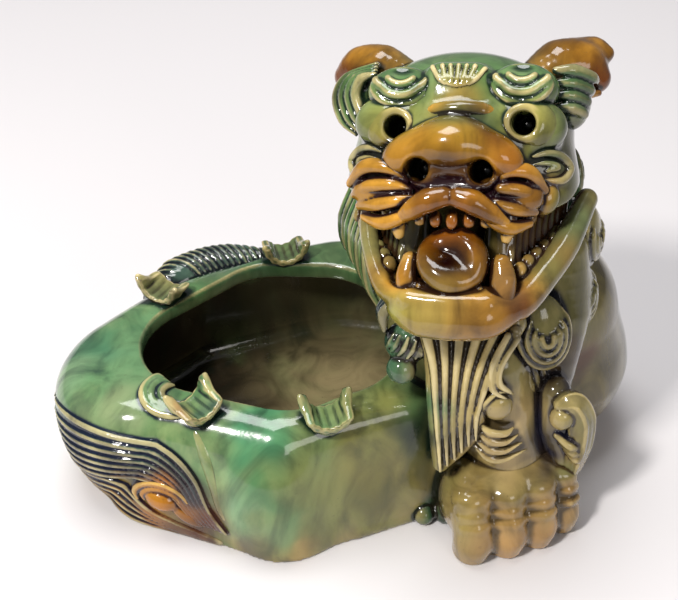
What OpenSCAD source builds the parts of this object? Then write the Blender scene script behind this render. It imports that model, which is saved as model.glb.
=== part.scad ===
// Foo dog ash tray: a crouching guardian lion in glazed earthenware.
// Its back is an open bowl with four rests on the rim, and its head looks out over the bowl's side.
// +X runs from the rump to the chest, -Y is the side that the face looks to, and Z is up from the table.
// The origin is on the table, under the middle of the footprint.
// Left and right are as someone facing the lion's face sees them. Near is the -Y side, far the +Y side.

/* [Clay] */
// Thickness of the thrown and pressed walls
wall = 5; // [3.5:0.5:6]
// Thickness of the bowl's floor
floor_thick = 6; // [4:0.5:8]

/* [Bowl body] */
// Height of the bowl's rim above the table
rim_height = 38; // [34:1:41]
// Radius of the rump's end of the body
rump_radius = 25; // [22:1:26]
// Radius of the knee's bulge on the near side
knee_radius = 16; // [13:1:18]
// Radius of the far side's bulge
far_radius = 24; // [21:1:26]
// How far the near side draws in from the table to the rim
side_draw = 9; // [6:1:11]
// Radius of the opening's rounded ends
opening_radius = 20; // [16:1:22]

/* [Cigarette rests] */
// Radius of the groove that holds a cigarette
groove_radius = 4.5; // [4:0.25:5.5]
// Thickness of the clay strip around the groove
rest_thick = 1.8; // [1.5:0.1:2.5]
// Length of a rest across the rim
rest_length = 12; // [9:1:14]

/* [Head] */
// Half the width of the skull
skull_half_width = 25; // [22:1:27]
// Turn of the face towards the chest
head_yaw = -19.5; // [-24:0.5:-14]
// Lift of the face
head_pitch = 32; // [27:0.5:36]
// Tilt of the head to one side
head_roll = -6; // [-9:0.5:-2]
// Distance from the middle of the face to each eye
eye_offset = 14.3; // [13:0.1:15.5]
// Radius of each pierced pupil
pupil_radius = 2.6; // [2:0.1:3.2]
// Radius of each pierced nostril
nostril_radius = 2; // [1.5:0.1:2.5]
// Half the width of the lower lip at the front
lip_half_width = 13; // [11:0.5:15]

/* [Legs] */
// Width of a front paw
paw_width = 37; // [33:1:40]
// Number of toes along the front of a paw
toe_count = 4; // [3:1:5]

/* [Hidden] */

$fn = 32;
soft = 12;   // facets around a modelled lump
fine = 8;    // facets around a strand of hair

// Middle of the footprint, measured from the bowl's own centre line
footprint_middle = [2.7, -1, 0];
head_at = [31.1, -8.4, 97.4];

body_slices = 8;
slice_height = 1;
body_top = rim_height + 2;

green = "mediumseagreen";
deep_green = "darkslategray";
olive = "darkkhaki";
amber = "darkgoldenrod";
honey = "goldenrod";
cream = "wheat";
navy = "midnightblue";

// ---------- helpers ----------

module placed() translate(-footprint_middle) children();

// A point of the face: x to the right, forward out of the face, up towards the crown
function face(x, forward, up) = [x, -forward, up];

module on_head()
    placed() translate(head_at)
        rotate([0, 0, head_yaw]) rotate([-head_pitch, 0, 0]) rotate([0, head_roll, 0]) children();

module ball(at, radius, sides = soft) translate(at) sphere(radius, $fn = sides);

// An egg-shaped lump with its own radius along each axis
module lump(at, radii, turn = [0, 0, 0], sides = soft)
    hull() translate(at) rotate(turn) scale(radii) sphere(1, $fn = sides);

// A lock of hair: a chain of tapering links through the points
module lock(points, root, tip, sides = fine) {
    last = len(points) - 1;
    for (i = [0 : last - 1])
        hull() {
            ball(points[i], root + (tip - root) * i / last, sides);
            ball(points[i + 1], root + (tip - root) * (i + 1) / last, sides);
        }
}

// Points of a spiral in the XZ plane, from its outer end to its middle
function spiral(at, outer, inner, turns, steps, start = 0) =
    [for (i = [0 : steps])
        let (a = start + 360 * turns * i / steps, r = outer + (inner - outer) * i / steps)
            at + [r * cos(a), 0, r * sin(a)]];

module spiral_curl(at, outer, turns, thick, start = 0, turn = [0, 0, 0]) {
    translate(at) rotate(turn) {
        lock(spiral([0, 0, 0], outer, thick, turns, 9, start), thick, thick * 0.8);
        ball([0, 0, 0], thick * 1.3, fine);
    }
}

module above_table() intersection() {
    children();
    translate([-150, -150, 0]) cube([300, 300, 200]);
}

// ---------- bowl body ----------

// Round corners of the body's outline. Each is widest at its own waist, and its radius shrinks
// by its tuck down to the table and by its draw up to the rim: [x, y, radius, waist, tuck, draw]
body_corners = [
    [-49, -4, rump_radius, 24, 7, side_draw / 2],
    [-45, -13, rump_radius * 0.7, 10, 1, side_draw * 0.7],
    [-16, -28, knee_radius, 6, 0, side_draw],
    [24, -16, knee_radius, 6, 0, side_draw * 0.7],
    [-28, 17, far_radius - 2, 20, 6, side_draw / 3],
    [6, 24, far_radius, 15, 5, side_draw / 2],
    [50, 14, far_radius - 2, 15, 5, side_draw / 2]];

function corner_radius(c, z) = z < c[3]
    ? c[2] - c[4] * pow(1 - z / c[3], 2)
    : c[2] - c[5] * pow((z - c[3]) / (body_top - c[3]), 2.5);

module body_slice(z, inset)
    translate([0, 0, z]) linear_extrude(slice_height)
        hull() for (c = body_corners) translate([c[0], c[1]]) circle(corner_radius(c, z) - inset, $fn = 24);

// The outside of the body swells all round, so it is the hull of its own slices
module body_form(bottom, top, inset, slices = body_slices)
    hull() for (i = [0 : slices - 1])
        body_slice(bottom + (top - slice_height - bottom) * i / (slices - 1), inset);

// Plan of the opening in the back
module opening_plan()
    hull() {
        translate([-29, -1]) circle(opening_radius);
        translate([-9, -7]) circle(opening_radius);
        translate([-7, 12]) circle(opening_radius);
    }

// Under the rim the hollow follows the body's own sides
module bowl_hollow() {
    translate([0, 0, floor_thick]) linear_extrude(body_top) opening_plan();
    body_form(floor_thick, rim_height - wall, wall, 6);
}

module bowl_body() color(green) placed()
    difference() {
        body_form(0, rim_height, 0);
        bowl_hollow();
        torso_form(0);
    }

// ---------- torso, neck and tail ----------

module torso_form(inset)
    above_table() {
        hull() {
            ball([58, 6, 24], 24.5 - inset, 24);
            ball([57, 4, 42], 20 - inset, 24);
            ball([36, -10, 20], 18 - inset, 24);
            ball([36, -6, 52], 21 - inset, 24);
        }
        hull() {
            ball([40, -5, 50], 22 - inset, 24);
            ball([36, -2, 80], 20 - inset, 24);
        }
    }

module torso_shell() color(olive) placed()
    difference() {
        torso_form(0);
        torso_form(wall);
        skull_seat();
        translate([58, 6, -1]) cylinder(r = 8, h = wall + 2);
    }

// The hollow that the head sits in
module skull_seat()
    translate(head_at) sphere(skull_half_width - 1, $fn = 32);

// The tail lies along the far side of the rump and curls up at its tip
module rump_tail() color(green) placed()
    difference() {
        lock([[-64, 16, 12], [-54, 31, 9], [-40, 38, 9], [-26, 41, 11], [-14, 44, 15],
            [-10, 45, 22], [-16, 43, 27], [-23, 41, 25]], 5, 3, 10);
        body_form(0, rim_height, 0);
    }

// ---------- cigarette rests ----------

// A strip bent into a U, with its two ends pinched up into horns
module cigarette_rest(at, turn) {
    horn = groove_radius * 0.9;
    outer = groove_radius + rest_thick;
    placed() translate(at) rotate([0, 0, turn]) {
        difference() {
            translate([0, 0, outer]) rotate([90, 0, 0]) cylinder(r = outer, h = rest_length, center = true);
            translate([0, 0, outer]) rotate([90, 0, 0])
                cylinder(r = groove_radius, h = rest_length + 1, center = true);
            translate([-outer, -rest_length, outer]) cube([outer * 2, rest_length * 2, outer]);
        }
        for (side = [-1, 1])
            translate([side * (outer - rest_thick / 2), 0, outer - 0.5])
                cylinder(r1 = rest_thick / 2, r2 = rest_thick / 4, h = horn / 2);
    }
}

module rest_near_left() color(green) cigarette_rest([-36, -27, rim_height - 0.5], 38);
module rest_near_right() color(honey) cigarette_rest([-3.5, -33, rim_height - 0.5], 8);
module rest_far_left() color(olive) cigarette_rest([-44, 21, rim_height - 0.5], -35);
module rest_far_right() color(green) cigarette_rest([-10, 36, rim_height - 0.5], 8);

// ---------- haunches, flank hair and hind feet ----------

// Places on the body's sides where the haunches are dressed: [x, y, turn about Z]
near_haunch = [-54, -29, -22];
far_haunch = [-48, 34, -14];

// Puts children at a haunch, drawn for the near side: x along the side to the hock, -y outward
module at_haunch(far) {
    spot = far ? far_haunch : near_haunch;
    placed() translate([spot[0], spot[1], 0]) mirror([0, far ? 1 : 0, 0]) rotate([0, 0, spot[2]]) children();
}

// A raised crescent on the shoulder of the rim
module haunch_swirl(far, inward) at_haunch(far)
    lock([for (t = [150 : 40 : 390]) [8 + 9 * cos(t), inward + 9 * sin(t), rim_height - 2]], 3.4, 2);
module near_haunch_swirl() color(green) haunch_swirl(false, 12);
module far_haunch_swirl() color(olive) haunch_swirl(true, 7);

// Parallel locks that sweep along the side from the rump to the hock
module flank_hair(far) at_haunch(far)
    for (row = [0 : 3])
        lock([[-27.5, 15 - row, 27 - 4.5 * row], [-13, 2.5 - row, 30 - 4.5 * row],
            [3, 0.5 - row, 28 - 4.3 * row], [15, 1 - row, 22 - 3.8 * row]], 2.2, 1.5);
module near_flank_hair() color(navy) flank_hair(false);
module far_flank_hair() color(navy) flank_hair(true);

module hock_curl(far) at_haunch(far)
    spiral_curl([8, -1.5, 14], 8, 1.4, 2.4, 60, [-6, 0, 0]);
module near_hock_curl() color(amber) hock_curl(false);
module far_hock_curl() color(amber) hock_curl(true);

// A toe's end shows where each hind foot comes out from under the flank
module hind_foot(at, toe_radius)
    placed() above_table()
        for (toe = [-1, 1])
            lump(at + [toe * toe_radius * 0.8, 0, toe_radius * 0.6], [toe_radius, toe_radius * 1.3, toe_radius]);
module near_hind_foot() color(deep_green) hind_foot([25, -32, 0], 3.4);
module far_hind_foot() color(deep_green) hind_foot([26, 45, 0], 3.4);

// ---------- head ----------

module skull_form(inset) {
    lump(face(0, 0, 2), [skull_half_width - inset, 22 - inset, 21 - inset], sides = 18);
    lump(face(0, 8, 4), [21 - inset, 12 - inset, 13 - inset]);
    for (side = [-1, 1])
        lump(face(side * 17, 2, -6), [10 - inset, 12 - inset, 11 - inset]);
}

module mouth_space() hull() {
    ball(face(0, 24, -19), 9);
    for (side = [-1, 1]) {
        ball(face(side * 14, 12, -20), 8);
        ball(face(side * 12, -2, -18), 6);
    }
}

module head_shell() color(green) on_head()
    difference() {
        skull_form(0);
        skull_form(wall - 0.5);
        mouth_space();
        for (side = [-1, 1])
            translate(face(side * eye_offset, 10, 7.6)) rotate([90, 0, 0]) cylinder(r = pupil_radius, h = 14);
        hull() for (z = [0, 4]) ball(face(0, -14, -18 + z), 10);
    }

// Broad nose with a fold across the bridge and two pierced nostrils
module muzzle() color(amber) on_head()
    difference() {
        union() {
            lump(face(0, 21, 1), [11, 8, 7.5]);
            for (side = [-1, 1]) {
                lump(face(side * 9, 20.5, -1.5), [8, 6, 5]);
                lump(face(side * 5, 22, -8), [6, 4.5, 4]);
                lump(face(side * 4, 18.5, 10), [6, 4, 3]);
            }
            lump(face(0, 23, -5), [9, 4.5, 5]);
        }
        for (side = [-1, 1])
            translate(face(side * 6.9, 16, -3)) rotate([90, 0, 0]) cylinder(r = nostril_radius, h = 16, $fn = 20);
        skull_form(0);
    }

module moustache(side) on_head()
    for (strand = [0 : 3])
        lock([face(side * 8, 23 - strand, -7 - strand * 1.6), face(side * 13, 21 - strand, -6 - strand * 2.4),
            face(side * 18, 18 - strand, -5.5 - strand * 2.4), face(side * 22, 14 - strand, -6.5 - strand * 2)],
            2.6, 1.8);
module left_moustache() color(amber) moustache(-1);
module right_moustache() color(amber) moustache(1);

// Two rows of teeth stand on curves under the lips, with a long fang at each front corner
module upper_teeth() color(cream) on_head() {
    for (i = [-2 : 2])
        translate(face(i * 3.9, 21 - abs(i) * 0.6, -14)) sphere(2.1, $fn = 20);
    for (side = [-1, 1])
        translate(face(side * 11.8, 18.5, -10)) rotate([180, 0, 0]) cylinder(r1 = 2.6, r2 = 0.9, h = 8);
}

module lower_teeth() color(cream) on_head() {
    for (i = [-2 : 2])
        translate(face(i * 4, 20.8 - abs(i) * 0.6, -29.5)) sphere(1.9, $fn = 20);
    for (side = [-1, 1]) {
        translate(face(side * 11.6, 17.5, -31)) cylinder(r1 = 2.8, r2 = 0.9, h = 10.5);
        for (i = [0 : 3])
            translate(face(side * (16.5 + i * 2), 11 - i * 4, -25 + i * 2.7)) sphere(2, $fn = 20);
    }
}

// A trough with a thick front lip and two side walls that rise to the corners of the mouth
module jaw_form(inset, lift) {
    hull() for (side = [-1, 1]) {
        ball(face(side * (lip_half_width - 4), 18, -32 + lift), 7 - inset);
        ball(face(side * 18, 2, -22 + lift), 6 - inset);
        ball(face(side * 20.5, -6, -13 + lift), 5 - inset);
    }
}

module lower_jaw() color(honey) on_head()
    difference() {
        jaw_form(0, 0);
        jaw_form(2.8, 3.5);
        hull() {
            jaw_form(3.2, 5);
            jaw_form(3.2, 18);
        }
        skull_form(0.5);
    }

module tongue() color(amber) on_head()
    translate(face(0.5, 12, -23.5)) rotate([68, 0, 0])
        rotate_extrude() difference() {
            union() {
                translate([5, 0]) circle(4.6);
                square([5, 4.6]);
                translate([0, -9]) square([6.5, 9]);
            }
            translate([0, 8]) circle(5.6);
            translate([-12, -12]) square([12, 24]);
        }

module eye(side) on_head()
    translate(face(side * eye_offset, 15.5, 7.6)) rotate([90, 0, side * 14])
        rotate_extrude() translate([pupil_radius + 2.2, 0]) circle(2);
module left_eye() color(olive) eye(-1);
module right_eye() color(olive) eye(1);

// Each brow is a roll of hair over the eye that ends in a curl at the temple
module brow(side) on_head()
    difference() {
        union() {
            for (strand = [0 : 1])
                lock([face(side * 5, 18.5, 13 + strand * 3), face(side * 10, 17.5, 15 + strand * 3),
                    face(side * 15, 16, 15.5 + strand * 3), face(side * 20, 13, 13.5 + strand * 3)], 2.7, 2.7);
            lump(face(side * 20, 12, 13.5), [4.5, 4.5, 4.5], sides = 12);
            lump(face(side * 13, 14.5, 17), [7, 3.5, 4], sides = 12);
        }
        skull_form(0);
    }
module left_brow() color(green) brow(-1);
module right_brow() color(green) brow(1);

// A fan of five strands that rises from between the brows
module forehead_tuft() color(cream) on_head()
    for (i = [-2 : 2])
        lock([face(i * 0.9, 18.6, 13), face(i * 2.3, 15.8, 17.5), face(i * 3.6, 12, 20.5)], 1.3, 1.7);

module temple_lock(side) on_head()
    for (strand = [0 : 2])
        lock([face(side * 22.5, 7 - strand * 2.5, 18), face(side * 25.5, 6 - strand * 2.5, 14.5),
            face(side * 25, 6 - strand * 2.5, 9.5), face(side * 22, 7 - strand * 2.5, 6)], 2.8, 2);
module left_temple_lock() color(green) temple_lock(-1);
module right_temple_lock() color(green) temple_lock(1);

// Cupped, round-ended ears stand out above the temples
module ear(side) on_head()
    difference() {
        hull() {
            ball(face(side * 17, -3, 19), 4.5);
            lump(face(side * 23.5, -4, 21), [6.5, 4.5, 4.5]);
            ball(face(side * 28.5, -7, 23), 3.5);
        }
        hull() {
            ball(face(side * 20, 3, 23), 2.5);
            ball(face(side * 26, 0, 25), 2.5);
        }
        skull_form(0);
    }
module left_ear() color(amber) ear(-1);
module right_ear() color(amber) ear(1);

module cheek_curl(side) on_head()
    spiral_curl(face(side * 21.5, 9, -2), 4.6, 1.1, 1.7, side > 0 ? 200 : -20, [0, 0, side * 35]);
module left_cheek_curl() color(olive) cheek_curl(-1);
module right_cheek_curl() color(olive) cheek_curl(1);

// ---------- mane ----------

// Rows of round curls that cap the skull from ear to ear
module crown_mane() color(deep_green) on_head()
    for (row = [0 : 1], i = [-2 : 2])
        lump(face(i * 8, -7 - row * 8, 20 - row * 6 - abs(i) * 1.6), [6, 6, 5], sides = fine);

// Rows of curls down the nape
module back_mane() color(deep_green) placed()
    difference() {
        for (row = [0 : 3], i = [-2 : 2])
            let (a = 62 + i * 27, r = 21 + row)
                lump([37 + r * cos(a), -3 + r * sin(a), 84 - row * 11], [6, 6, 7], sides = fine);
        torso_form(0);
    }

// Long comma-shaped locks hang behind the mouth's right corner, in two tiers
module right_mane_locks() color(olive) placed()
    difference() {
        for (i = [0 : 2]) {
            lock([[60 - i * 5, -12 - i * 6, 74 - i * 2], [63 - i * 5, -16 - i * 6, 66 - i * 4],
                [60 - i * 5, -20 - i * 5, 58 - i * 5], [55 - i * 4, -22 - i * 5, 53 - i * 4]], 4.6, 2.2);
            lock([[61 - i * 4, -9 - i * 6, 54 - i * 3], [64 - i * 5, -12 - i * 6, 47 - i * 3],
                [61 - i * 5, -15 - i * 6, 40 - i * 2]], 4, 2.2);
        }
        torso_form(0);
    }

module left_mane_locks() color(deep_green) placed()
    difference() {
        for (i = [0 : 3])
            lock([[13 - i, -6 + i * 7, 80 - i * 2], [9, -9 + i * 7, 72 - i * 2],
                [9, -10 + i * 7, 62 - i], [12, -11 + i * 7, 53]], 4.4, 2.4);
        torso_form(0);
    }

module left_throat_curl() color(navy) placed()
    spiral_curl([14, -29, 51], 6.5, 1.3, 2.2, 100, [0, 0, -18]);

// Long wavy strands that fall from the chin to between the forelegs
module chest_mane() color(cream) placed()
    difference() {
        for (i = [0 : 4])
            let (bow = sin(i * 45))
                lock([[18 + i * 4, -27 - bow * 4, 64], [17 + i * 3.8, -31 - bow * 4, 52],
                    [20 + i * 3.6, -31 - bow * 3, 38], [24 + i * 2.2, -31 - bow * 3, 26],
                    [27 + i * 1.2, -33, 14]], 3.2, 2);
        torso_form(0);
    }

// ---------- forelegs ----------

module foreleg(foot, shoulder)
    placed() difference() {
        hull() {
            ball(foot, 11.5);
            ball(shoulder, 12);
        }
        torso_form(0);
    }

// A broad paw with its toes along -Y: a low pad, and toes that step down over two knuckles
module paw(at, turn, width, sides)
    placed() translate(at) rotate([0, 0, turn]) above_table() {
        pitch = width / toe_count;
        hull() {
            for (side = [-1, 1]) ball([side * (width / 2 - 9), 8, 8], 8.5, sides);
            ball([0, 5, 17], 9, sides);
        }
        for (i = [0 : toe_count - 1]) {
            across = pitch * (i + 0.5) - width / 2;
            hull() {
                ball([across * 0.8, 3, 16], pitch * 0.5, sides);
                ball([across * 0.95, -5, 11], pitch * 0.52, sides);
            }
            hull() {
                ball([across * 0.95, -5, 11], pitch * 0.52, sides);
                ball([across, -7, 4], pitch * 0.55, sides);
            }
        }
    }

module near_foreleg() color(olive) foreleg([46, -26, 16], [42, -20, 40]);
module near_paw() color(olive) paw([46, -37, 0], 10, paw_width, 10);
module far_foreleg() color(olive) foreleg([66, 22, 13], [60, 20, 36]);
module far_paw() color(olive) paw([70, 19, 0], 80, paw_width * 0.75, 8);

// A small spiral where the leg joins the chest
module near_knee_curl() color(olive) placed()
    spiral_curl([38, -38, 43], 5, 1.2, 2.1, 90);

// The tuft behind the leg hooks over at its top
module leg_tuft(at)
    placed() translate(at) {
        lock([[-3, 2, 5], [-1, 0, 10], [3, -1, 11.5], [6, -1, 8], [6, -1, 2], [3, 0, -4], [0, 1, -9]], 3, 2.2);
        lock([[1, 1, 4], [2, 0, -1], [1, 1, -6]], 2.4, 1.8);
    }
module near_leg_tuft() color(olive) leg_tuft([56, -33, 34]);

bowl_body();
torso_shell();
rump_tail();
rest_near_left();
rest_near_right();
rest_far_left();
rest_far_right();
near_haunch_swirl();
far_haunch_swirl();
near_flank_hair();
far_flank_hair();
near_hock_curl();
far_hock_curl();
near_hind_foot();
far_hind_foot();
head_shell();
muzzle();
left_moustache();
right_moustache();
upper_teeth();
lower_jaw();
lower_teeth();
tongue();
left_eye();
right_eye();
left_brow();
right_brow();
forehead_tuft();
left_temple_lock();
right_temple_lock();
left_ear();
right_ear();
left_cheek_curl();
right_cheek_curl();
crown_mane();
back_mane();
left_mane_locks();
right_mane_locks();
left_throat_curl();
chest_mane();
near_foreleg();
near_paw();
near_knee_curl();
near_leg_tuft();
far_foreleg();
far_paw();
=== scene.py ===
"""Foo dog ash tray: each lump of clay is modelled as a field of distances, skinned with a mesh and glazed."""
import math

import bpy
import numpy as np
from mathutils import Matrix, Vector


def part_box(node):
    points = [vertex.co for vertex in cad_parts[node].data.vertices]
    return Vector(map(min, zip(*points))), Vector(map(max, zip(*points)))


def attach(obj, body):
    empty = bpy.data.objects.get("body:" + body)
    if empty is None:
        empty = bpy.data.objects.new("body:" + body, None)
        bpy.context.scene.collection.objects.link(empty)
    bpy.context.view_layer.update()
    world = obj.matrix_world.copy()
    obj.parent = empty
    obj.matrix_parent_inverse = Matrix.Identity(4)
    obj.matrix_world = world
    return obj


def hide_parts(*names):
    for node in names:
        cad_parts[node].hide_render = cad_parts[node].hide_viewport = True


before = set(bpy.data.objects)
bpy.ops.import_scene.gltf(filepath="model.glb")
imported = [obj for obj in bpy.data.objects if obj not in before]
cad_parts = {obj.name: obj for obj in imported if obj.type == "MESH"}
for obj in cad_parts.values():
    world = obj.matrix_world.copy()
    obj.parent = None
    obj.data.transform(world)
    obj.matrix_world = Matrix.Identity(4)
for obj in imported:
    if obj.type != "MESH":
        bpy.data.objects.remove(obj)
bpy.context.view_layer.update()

MM = 0.001
FAR = 9.0        # distances beyond this, in mm, aren't kept
REACH = 3.6      # how far from a shape its distances stay true
FINE = 0.42      # grid steps, in mm
MEDIUM = 0.5
COARSE = 0.65
BROAD = 0.76
SPECK = 60       # a closed bubble of fewer quads than this is left out
SIDES = {"left": -1, "right": 1}       # as seen from in front of the face


# ---------- axes ----------

def turn_x(degrees):
    c, s = math.cos(math.radians(degrees)), math.sin(math.radians(degrees))
    return np.array([[1, 0, 0], [0, c, -s], [0, s, c]])


def turn_y(degrees):
    c, s = math.cos(math.radians(degrees)), math.sin(math.radians(degrees))
    return np.array([[c, 0, s], [0, 1, 0], [-s, 0, c]])


def turn_z(degrees):
    c, s = math.cos(math.radians(degrees)), math.sin(math.radians(degrees))
    return np.array([[c, -s, 0], [s, c, 0], [0, 0, 1]])


class Pose:
    """Where a piece's own axes stand in the frame, in mm."""

    def __init__(self, at, turn):
        self.at = np.array(at, float)
        self.turn = turn

    def out(self, points):
        return points @ self.turn.T + self.at

    def inward(self, points):
        return (points - self.at) @ self.turn


def box_mm(node):
    low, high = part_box(node)
    return np.array(low) / MM, np.array(high) / MM


HEAD_TURN = turn_z(-19.5) @ turn_x(-32) @ turn_y(-6)
BETWEEN_EYES = (0, 15.5, 7.6)          # where the middle of the CAD's two eyes is on the face
EYE_HOLES = {-1: (-13.7, 6.5), 1: (14.7, 8.0)}       # across and up, for each side
BROWS = {-1: (-13.2, 14.4), 1: (13.6, 15.6)}
NOSTRILS = {-1: -7.9, 1: 6.2}          # across
HULL_BEHIND = 74         # how far the bowl's hull reaches behind and beside the body's own middle
HULL_BESIDE = 44


def face(x, forward, up):
    """A point of the face: x to the right, forward out of the face, up towards the crown."""
    return np.array([x, -forward, up], float)


def on_side(side, *points):
    """Points of the face, written for its right side and mirrored where the side is -1."""
    return [face(side * x, forward, up) for x, forward, up in points]


def head_pose():
    """The head stands where the CAD's two eyes are."""
    middle = sum(sum(box_mm(name)) / 4 for name in ("left_eye", "right_eye"))
    return Pose(middle - HEAD_TURN @ face(*BETWEEN_EYES), HEAD_TURN)


def body_pose():
    """The body's axes start on the table, under the bowl."""
    low = box_mm("bowl_body")[0]
    return Pose((low[0] + HULL_BEHIND, low[1] + HULL_BESIDE, 0), np.eye(3))


HEAD = head_pose()
BODY = body_pose()


# ---------- clay ----------

def smooth_low(a, b, blend):
    """The lower of two fields, with a fillet of about this size where they meet."""
    blend = np.maximum(blend, 1e-4)
    share = np.clip(0.5 + 0.5 * (b - a) / blend, 0, 1)
    return b + (a - b) * share - blend * share * (1 - share)


def smooth_high(a, b, blend):
    return -smooth_low(-a, -b, blend)


def curve(points, count):
    """A smooth path through the points, with the same number of steps between each two."""
    p = np.array(points, float)
    ends = np.vstack([2 * p[0] - p[1], p, 2 * p[-1] - p[-2]])
    place = np.linspace(0, len(p) - 1, count)
    first = np.minimum(place.astype(int), len(p) - 2)
    t = (place - first)[:, None]
    a, b, c, d = (ends[first + k] for k in range(4))
    return 0.5 * (2 * b + (c - a) * t + (2 * a - 5 * b + 4 * c - d) * t ** 2
                  + (3 * b - a - 3 * c + d) * t ** 3)


def spread(values, count):
    """This many values, evenly along the given ones and in between them."""
    return np.interp(np.linspace(0, 1, count), np.linspace(0, 1, len(values)), values)


def from_middle(x, y, z, at, turn):
    """How far places lie from a middle, along turned axes if there are any."""
    away = (x - at[0], y - at[1], z - at[2])
    if turn is None:
        return away
    return tuple(turn[0, k] * away[0] + turn[1, k] * away[1] + turn[2, k] * away[2] for k in range(3))


def length(vectors):
    """The length of each vector, kept off zero so that it can be divided by."""
    return np.maximum(np.linalg.norm(vectors, axis=1), 1e-3)[:, None]


class Clay:
    """Signed distances on a grid, in mm in the pose's own axes: negative inside the clay."""

    def __init__(self, pose, step):
        self.pose, self.step = pose, step
        self.low, self.field = None, None

    def grow(self, low, high):
        if self.field is None:
            self.low = np.array(low, float)
            self.field = np.full(np.ceil((high - self.low) / self.step).astype(int) + 1, FAR, np.float32)
            return
        before = np.maximum(np.ceil((self.low - low) / self.step), 0).astype(int)
        top = self.low + self.step * (np.array(self.field.shape) - 1)
        after = np.maximum(np.ceil((high - top) / self.step), 0).astype(int)
        if before.any() or after.any():
            self.field = np.pad(self.field, list(zip(before, after)), constant_values=FAR)
            self.low = self.low - before * self.step

    def window(self, low, high, cut=False):
        if not cut:
            self.grow(low, high)
        top = np.array(self.field.shape)
        first = np.clip(np.floor((low - self.low) / self.step), 0, top).astype(int)
        last = np.clip(np.ceil((high - self.low) / self.step) + 1, 0, top).astype(int)
        last = np.maximum(first, last)
        where = tuple(slice(a, b) for a, b in zip(first, last))
        x, y, z = (self.low[k] + self.step * np.arange(first[k], last[k], dtype=np.float32) for k in range(3))
        return where, x[:, None, None], y[None, :, None], z[None, None, :]

    def merge(self, where, distance, blend, cut):
        old = self.field[where]
        if cut:
            self.field[where] = -smooth_low(-old, distance, blend)
        else:
            self.field[where] = smooth_low(old, distance, blend)

    def shape(self, low, high, distance, blend=0.8, cut=False):
        pad = REACH + blend
        where, x, y, z = self.window(np.array(low) - pad, np.array(high) + pad, cut)
        if self.field[where].size:
            self.merge(where, distance(x, y, z).astype(np.float32), blend, cut)

    def egg(self, at, radii, turn=None, blend=1.5, cut=False):
        at, r = np.array(at, float), np.array(radii, float)
        reach = np.full(3, r.max()) if turn is not None else r

        def distance(x, y, z):
            q = from_middle(x, y, z, at, turn)
            k0 = np.sqrt(sum((q[k] / r[k]) ** 2 for k in range(3)))
            k1 = np.sqrt(sum((q[k] / r[k] ** 2) ** 2 for k in range(3)))
            return k0 * (k0 - 1) / np.maximum(k1, 1e-3)
        self.shape(at - reach, at + reach, distance, blend, cut)

    def block(self, at, half, rounding, turn=None, blend=1.0, cut=False):
        at, half = np.array(at, float), np.array(half, float) - rounding
        reach = np.full(3, np.linalg.norm(half) + rounding)

        def distance(x, y, z):
            q = from_middle(x, y, z, at, turn)
            d = [np.abs(q[k]) - half[k] for k in range(3)]
            outside = np.sqrt(sum(np.maximum(e, 0) ** 2 for e in d))
            inside = np.minimum(np.maximum(np.maximum(d[0], d[1]), d[2]), 0)
            return outside + inside - rounding
        self.shape(at - reach, at + reach, distance, blend, cut)

    def tube(self, path, radii, blend=0.6, cut=False, steps=None):
        """A rope of clay along a path. Radii are one number, or one for each point that is given."""
        given = np.array(path, float)
        r = np.broadcast_to(np.array(radii, float), (len(given),))
        count = steps or max(3, 4 * (len(given) - 1) + 1)
        p = curve(given, count) if len(given) > 2 else given
        r = spread(r, len(p))
        pad = REACH + blend
        where, x, y, z = self.window(p.min(0) - r.max() - pad, p.max(0) + r.max() + pad, cut)
        if not self.field[where].size:
            return
        near = np.full(self.field[where].shape, FAR, np.float32)
        axes = (x.ravel(), y.ravel(), z.ravel())
        for a, b, ra, rb in zip(p[:-1], p[1:], r[:-1], r[1:]):
            low = np.minimum(a, b) - max(ra, rb) - pad
            high = np.maximum(a, b) + max(ra, rb) + pad
            span = [slice(*np.searchsorted(axes[k], (low[k], high[k]))) for k in range(3)]
            sx = (axes[0][span[0]] - a[0])[:, None, None]
            sy = (axes[1][span[1]] - a[1])[None, :, None]
            sz = (axes[2][span[2]] - a[2])[None, None, :]
            v = b - a
            t = np.clip((sx * v[0] + sy * v[1] + sz * v[2]) / max(v @ v, 1e-6), 0, 1)
            away = np.sqrt((sx - t * v[0]) ** 2 + (sy - t * v[1]) ** 2 + (sz - t * v[2]) ** 2)
            part = near[tuple(span)]
            np.minimum(part, away - (ra + (rb - ra) * t), out=part)
        self.merge(where, near, blend, cut)

    def flat(self):
        """Cuts the clay off at the table."""
        z = self.low[2] + self.step * np.arange(self.field.shape[2])
        self.field = np.maximum(self.field, -z[None, None, :].astype(np.float32))

    def read(self, points, slope=False):
        """The field at points given in the pose's own axes, and its slope if asked."""
        g = (points - self.low) / self.step
        top = np.array(self.field.shape) - 1
        outside = ((g < 0) | (g > top)).any(1)
        cell = np.clip(np.floor(g), 0, top - 1).astype(int)
        t = np.clip(g - cell, 0, 1)
        i, j, k = cell.T
        c = [self.field[i + a, j + b, k + e] for a in (0, 1) for b in (0, 1) for e in (0, 1)]
        u, v, w = t.T
        c00, c01 = c[0] + (c[4] - c[0]) * u, c[1] + (c[5] - c[1]) * u
        c10, c11 = c[2] + (c[6] - c[2]) * u, c[3] + (c[7] - c[3]) * u
        c0, c1 = c00 + (c10 - c00) * v, c01 + (c11 - c01) * v
        value = np.where(outside, FAR, c0 + (c1 - c0) * w)
        if not slope:
            return value
        du = ((c[4] - c[0]) * (1 - v) * (1 - w) + (c[5] - c[1]) * (1 - v) * w
              + (c[6] - c[2]) * v * (1 - w) + (c[7] - c[3]) * v * w)
        dv = (c10 - c00) * (1 - w) + (c11 - c01) * w
        return value, np.stack([du, dv, c1 - c0], 1) / self.step

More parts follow.
